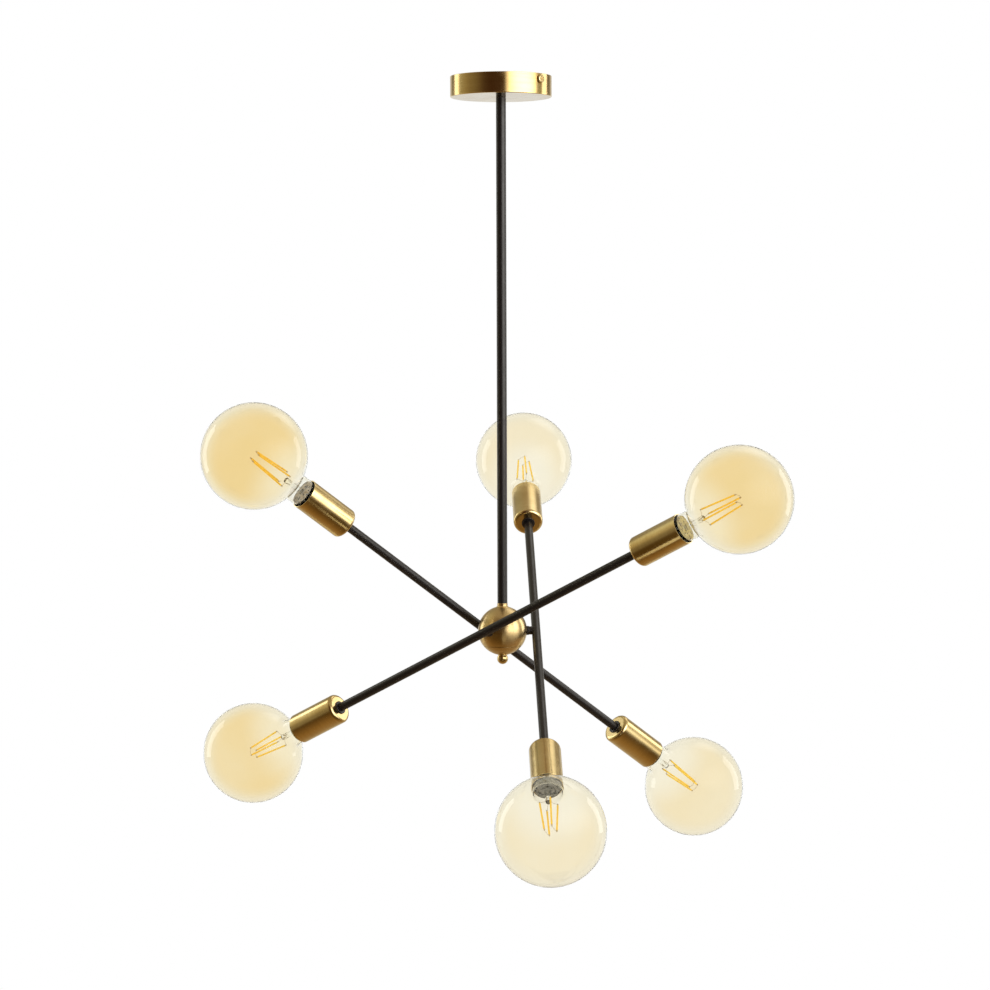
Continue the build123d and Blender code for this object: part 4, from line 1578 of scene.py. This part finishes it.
@dataclass
class Arm(Assembly):
    """A black arm that swivels on the hub, with a lamp at each end."""

    side: ArmSide
    wall: float = 0.001
    spigot: float = 0.00394
    wire_bore: float = 0.0022
    face_gap: float = 0.00005
    saddle_lap: float = 0.0004
    saddle_room: float = 0.0002
    boss_foot: float = 0.0008

    @property
    def body(self) -> str:
        """The body that the arm's pieces ride on."""
        return f"{self.side.value}_arm"

    @property
    def joint(self) -> dict:
        """The arm's hinge, as the record gives it."""
        return next(joint for joint in frame["joints"] if joint["child"] == self.body)

    @property
    def spindle(self) -> Spindle:
        """The arm's own line from its swivel towards its high end, the longest direction of its tube."""
        points = node_points(f"{self.side.value}_arm_tube")
        along = np.linalg.svd(points - points.mean(axis=0), full_matrices=False)[2][0]
        return Spindle(np.array(self.joint["pos_m"]), along * np.sign(along[2]), np.array(self.joint["axis"]))

    @property
    def mica(self) -> MottledSheet:
        """The painted reflection that the discs in this arm's bulb necks carry, one colour scheme per arm."""
        return {ArmSide.FRONT: GOLDEN_NECK_REFLECTION, ArmSide.RIGHT: GREY_NECK_REFLECTION, ArmSide.REAR: FLECKED_NECK_REFLECTION}[self.side]

    def tube(self) -> Surface:
        """A ring section that runs from one lampholder to the other."""
        span = self.spindle.span(f"{self.side.value}_arm_tube")
        return ring(self.spindle, (-span.high, span.high), (span.outer - self.wall, span.outer), 56)

    def swivel(self) -> Surface:
        """The boss that carries the arm, with its spigot in the hub's sleeve.

        The boss ends in a saddle on the tube: at angle a its last ring stands
        sqrt(tube radius^2 - (boss radius * sin a)^2) from the arm's line, so it closes on the tube's skin.

        Returns:
            The skin.
        """
        pivot, along = np.array(self.joint["pos_m"]), np.array(self.joint["axis"])
        hub = Spindle(np.array([0.0, 0.0, pivot[2]]), along, self.spindle.along)
        span = hub.span(f"{self.side.value}_arm_swivel")
        tube = self.spindle.span(f"{self.side.value}_arm_tube").outer
        axis = float((pivot - hub.origin) @ hub.along)
        face = hub.span("friction_washers", STUB_ROOM).high + self.face_gap
        corners = [Corner(span.low, self.wire_bore), Corner(span.low, self.spigot, SOFT_EDGE),
                   Corner(face, self.spigot), Corner(face, span.outer, SOFT_EDGE),
                   Corner(axis, span.outer, HAIR_EDGE), Corner(axis, self.wire_bore)]
        boss = turned(hub, rounded(corners, closed=True, spacing=0.003), 64, closed=True)
        offset = boss.points - hub.origin
        distance, wide = offset @ hub.along, offset @ hub.across
        saddle = axis - np.sqrt(np.maximum(tube ** 2 - wide ** 2, 0.0)) + self.saddle_lap
        sunk = np.minimum(distance, np.maximum(saddle, face + self.saddle_room))
        moved = np.where(distance > face + self.boss_foot, sunk, distance)
        return replace(boss, points=boss.points + (moved - distance)[:, None] * hub.along, normals=None)

    def build(self) -> None:
        """The tube, swivel and both lamps are modelled, and what they hide is dressed."""
        name = self.side.value
        lamps = [Lamp(self.side, End.HIGH, self.spindle), Lamp(self.side, End.LOW, self.spindle.back)]
        self.add(f"{name}_arm_tube", [self.tube()], BLACK_COAT)
        self.add(f"{name}_arm_swivel", [self.swivel()], BLACK_COAT)
        self.add(f"{name}_cup_collars", [lamp.collar() for lamp in lamps], BLACK_COAT)
        self.add(f"{name}_lampholders", [lamp.holder() for lamp in lamps], HOLDER_MOULDING)
        self.add(f"{name}_bulb_stems", [lamp.stem() for lamp in lamps], CLEAR_GLASS)
        # Discs in the necks, coloured with painted reflection.
        discs = [lamp.reflection_disc() for lamp in lamps]
        self.add(f"{name}_bulb_stems", discs, self.mica, f"{name}_bulb_reflection_discs")
        resin = [skin for lamp in lamps for skin in lamp.filaments()]
        metal = [skin for lamp in lamps for skin in lamp.wires()]
        self.add(f"{name}_filaments", resin, FILAMENT_RESIN)
        self.add(f"{name}_filaments", metal, LEAD_WIRE, f"{name}_filament_wires")
        for lamp in lamps:
            self.add(lamp.node("cup"), [lamp.cup()], SATIN_BRASS)
            self.add(lamp.node("bulb_cap"), [lamp.cap()], NICKEL_PLATE)
            self.add(lamp.node("globe"), [lamp.globe()], AMBER_GLASS)
        self.dress(f"{name}_swivel_nut", ZINC_PLATE)
        self.dress(f"{name}_arm_leads", LEAD_COVER)
        self.dress(f"{name}_screw_shells", NICKEL_PLATE)


# Watts that a square metre of a lamp's face needs for a brightness of 1
FACE_WATTS = 4.0


@dataclass(frozen=True)
class Softbox:
    """A lamp with a large face, aimed at the middle of the light.

    Attributes:
        name: of the lamp.
        azimuth: degrees from the camera's side, growing to the right.
        elevation: degrees above the horizon.
        distance: from the middle of the light.
        width: of its face.
        height: of its face.
        radiance: brightness of its face, where 1 is the white of the background.
        colour: of its light.
        faded: whether its face dims from the middle to its edges.
    """

    name: str
    azimuth: float
    elevation: float
    distance: float
    width: float
    height: float
    radiance: float
    colour: Colour = (1.0, 1.0, 1.0)
    faded: bool = False

    def fade(self, light: bpy.types.Light) -> None:
        """Dims the face towards its edges by 4 u (1 - u) * 4 v (1 - v), with u and v from 0 to 1 across it.

        Args:
            light: the lamp.
        """
        light.use_nodes = True
        desk = NodeDesk(light.node_tree)
        across = desk.put("ShaderNodeNewGeometry").outputs["Parametric"]
        humps = [desk.math("MULTIPLY", desk.math("MULTIPLY", share, 4.0), desk.math("SUBTRACT", 1.0, share))
                 for share in desk.put("ShaderNodeSeparateXYZ", {0: across}).outputs[:2]]
        glow = desk.put("ShaderNodeEmission", {"Strength": desk.math("MULTIPLY", *humps)})
        desk.put("ShaderNodeOutputLight", {"Surface": glow.outputs[0]})

    def build(self, aim: Array) -> None:
        """Hangs the lamp so that its face looks at a point.

        Args:
            aim: the point.
        """
        turn, rise = radians(self.azimuth), radians(self.elevation)
        away = np.array([sin(turn) * cos(rise), -cos(turn) * cos(rise), sin(rise)])
        light = bpy.data.lights.new(self.name, "AREA")
        light.shape = "RECTANGLE"
        light.size, light.size_y = self.width, self.height
        light.energy = self.radiance * FACE_WATTS * self.width * self.height
        light.color = self.colour
        if self.faded:
            self.fade(light)
        holder = bpy.data.objects.new(self.name, light)
        bpy.context.scene.collection.objects.link(holder)
        holder.location = aim + self.distance * away
        holder.rotation_euler = (pi / 2.0 - rise, 0.0, turn)
        holder.visible_camera = False
        holder.visible_transmission = False
        LOG.info("lamp %s at %s", self.name, np.round(holder.location, 2))


WARM_WHITE: Colour = (1.0, 0.985, 0.95)
SOFTBOXES = (Softbox("key_softbox", 50.0, 16.0, 2.5, 4.1, 2.5, 3.2, WARM_WHITE, True),
             Softbox("left_strip", -119.5, 8.0, 2.4, 0.75, 1.8, 1.5),
             Softbox("right_strip", 116.5, 7.0, 2.4, 0.82, 1.8, 1.5),
             Softbox("back_softbox", 143.0, 48.0, 2.4, 1.6, 1.7, 1.0, WARM_WHITE, True))


@dataclass
class Studio:
    """A white room: a pale floor far below, soft lamps, and the photograph's camera.

    Out from its middle, the floor turns white to the camera between white_from and white_at, and into the
    room for gloss between room_from and room_at. The lens and the sensor are in millimetres.
    """

    floor_level: float = -1.7
    floor_radius: float = 14.0
    floor_rings: int = 24
    white_from: float = 1.75
    white_at: float = 2.9
    near_white: float = 0.55
    room_from: float = 2.6
    room_at: float = 8.0
    bands_reach: float = 3.0
    middle: tuple[float, float, float] = (0.0, 0.0, -0.55)
    camera_place: tuple[float, float, float] = (-0.00827, -3.8793, -0.4043)
    camera_pitch: float = -0.0254
    camera_roll: float = 0.0031
    lens: float = 117.08
    sensor: float = 36.0
    fill: Colour = (0.28, 0.28, 0.28)

    def camera(self) -> None:
        """The photograph's camera, without shift."""
        data = bpy.data.cameras.new("photograph_camera")
        data.lens, data.sensor_width = self.lens, self.sensor
        holder = bpy.data.objects.new("photograph_camera", data)
        bpy.context.scene.collection.objects.link(holder)
        holder.location = self.camera_place
        holder.rotation_euler = (pi / 2.0 + self.camera_pitch, self.camera_roll, 0.0)
        bpy.context.scene.camera = holder
        LOG.info("camera at %s", self.camera_place)

    def floor(self) -> None:
        """A wide pale disc: rings of points at radius^2 spacing, closed in a pole at its middle."""
        reach = self.floor_radius * np.linspace(1.0, 0.0, self.floor_rings) ** 2
        level = np.zeros(self.floor_rings)
        flat = Outline(np.stack([level, reach], axis=1), np.tile([1.0, 0.0], (self.floor_rings, 1)), level)
        below = Spindle(np.array([0.0, 0.0, self.floor_level]), STEM_LINE.along, STEM_LINE.side)
        skin = turned(below, flat, 96)
        mesh = bpy.data.meshes.new("floor")
        mesh.from_pydata(skin.points.tolist(), [], skin.quads.tolist() + skin.triangles.tolist())
        mesh.materials.append(self.floor_material())
        disc = bpy.data.objects.new("floor", mesh)
        bpy.context.scene.collection.objects.link(disc)
        LOG.info("floor at %.2f m", self.floor_level)

    def floor_material(self) -> bpy.types.Material:
        """Pale matt paint that turns white further out, and into coloured bands and the room for gloss.

        Returns:
            The material.
        """
        made = bpy.data.materials.new("pale_floor")
        made.use_nodes = True
        desk = NodeDesk(made.node_tree)
        place = desk.place()
        paint = desk.blend(desk.clouds(place, 3.0), (0.86, 0.86, 0.85), (0.88, 0.88, 0.87))
        matt = desk.put("ShaderNodeBsdfPrincipled", {"Base Color": paint, "Roughness": 0.8})
        path = desk.put("ShaderNodeLightPath").outputs
        seen = desk.math("MAXIMUM", path["Is Camera Ray"], path["Is Transmission Ray"])
        reach = desk.put("ShaderNodeVectorMath", {0: place}, operation="LENGTH").outputs["Value"]
        pale = desk.between(reach, self.white_from, self.white_at, self.near_white, 1.0)
        plain = desk.put("ShaderNodeEmission", {"Color": (1.0, 1.0, 1.0, 1.0), "Strength": 1.0})
        shown = desk.put("ShaderNodeMixShader", {0: desk.math("MULTIPLY", seen, pale), 1: matt.outputs[0],
                                                 2: plain.outputs[0]})
        back = desk.put("ShaderNodeSeparateXYZ", {0: place}).outputs["Y"]
        near = desk.ramp(back, FLOOR_BANDS, -self.bands_reach, self.bands_reach)
        around = desk.effect(room_glow(), Direction=place)["Colour"]
        colour = desk.blend(desk.between(reach, self.room_from, self.room_at), near, around)
        gloss = desk.put("ShaderNodeEmission", {"Color": colour, "Strength": 1.0})
        mirrored = desk.math("SUBTRACT", path["Is Glossy Ray"], path["Is Transmission Ray"])
        mixed = desk.put("ShaderNodeMixShader", {0: mirrored, 1: shown.outputs[0], 2: gloss.outputs[0]})
        desk.put("ShaderNodeOutputMaterial", {"Surface": mixed.outputs[0]})
        return made

    def room(self) -> None:
        """The world: white to the camera and glass, a soft fill on matt surfaces, the room for gloss."""
        world = bpy.data.worlds.new("white_room")
        world.use_nodes = True
        bpy.context.scene.world = world
        desk = NodeDesk(world.node_tree)
        direction = desk.put("ShaderNodeTexCoord").outputs["Generated"]
        gloss = desk.effect(room_glow(), Direction=direction)["Colour"]
        path = desk.put("ShaderNodeLightPath").outputs
        lit = desk.blend(path["Is Glossy Ray"], self.fill, gloss)
        seen = desk.math("MAXIMUM", path["Is Camera Ray"], path["Is Transmission Ray"])
        shown = desk.blend(seen, lit, (1.0, 1.0, 1.0))
        glow = desk.put("ShaderNodeBackground", {"Color": shown, "Strength": 1.0})
        desk.put("ShaderNodeOutputWorld", {"Surface": glow.outputs[0]})

    def build(self) -> None:
        """The camera, the floor, the room and the lamps."""
        bpy.context.scene.view_settings.view_transform = "Standard"
        self.camera()
        self.floor()
        self.room()
        for softbox in SOFTBOXES:
            softbox.build(np.array(self.middle))


def main() -> None:
    """Builds the studio and every sub-assembly in order."""
    logging.basicConfig(level=logging.INFO, format="%(message)s")
    Studio().build()
    Canopy().build()
    Stem().build()
    Hub().build()
    for side in ArmSide:
        Arm(side).build()


if __name__ == "__main__":
    main()
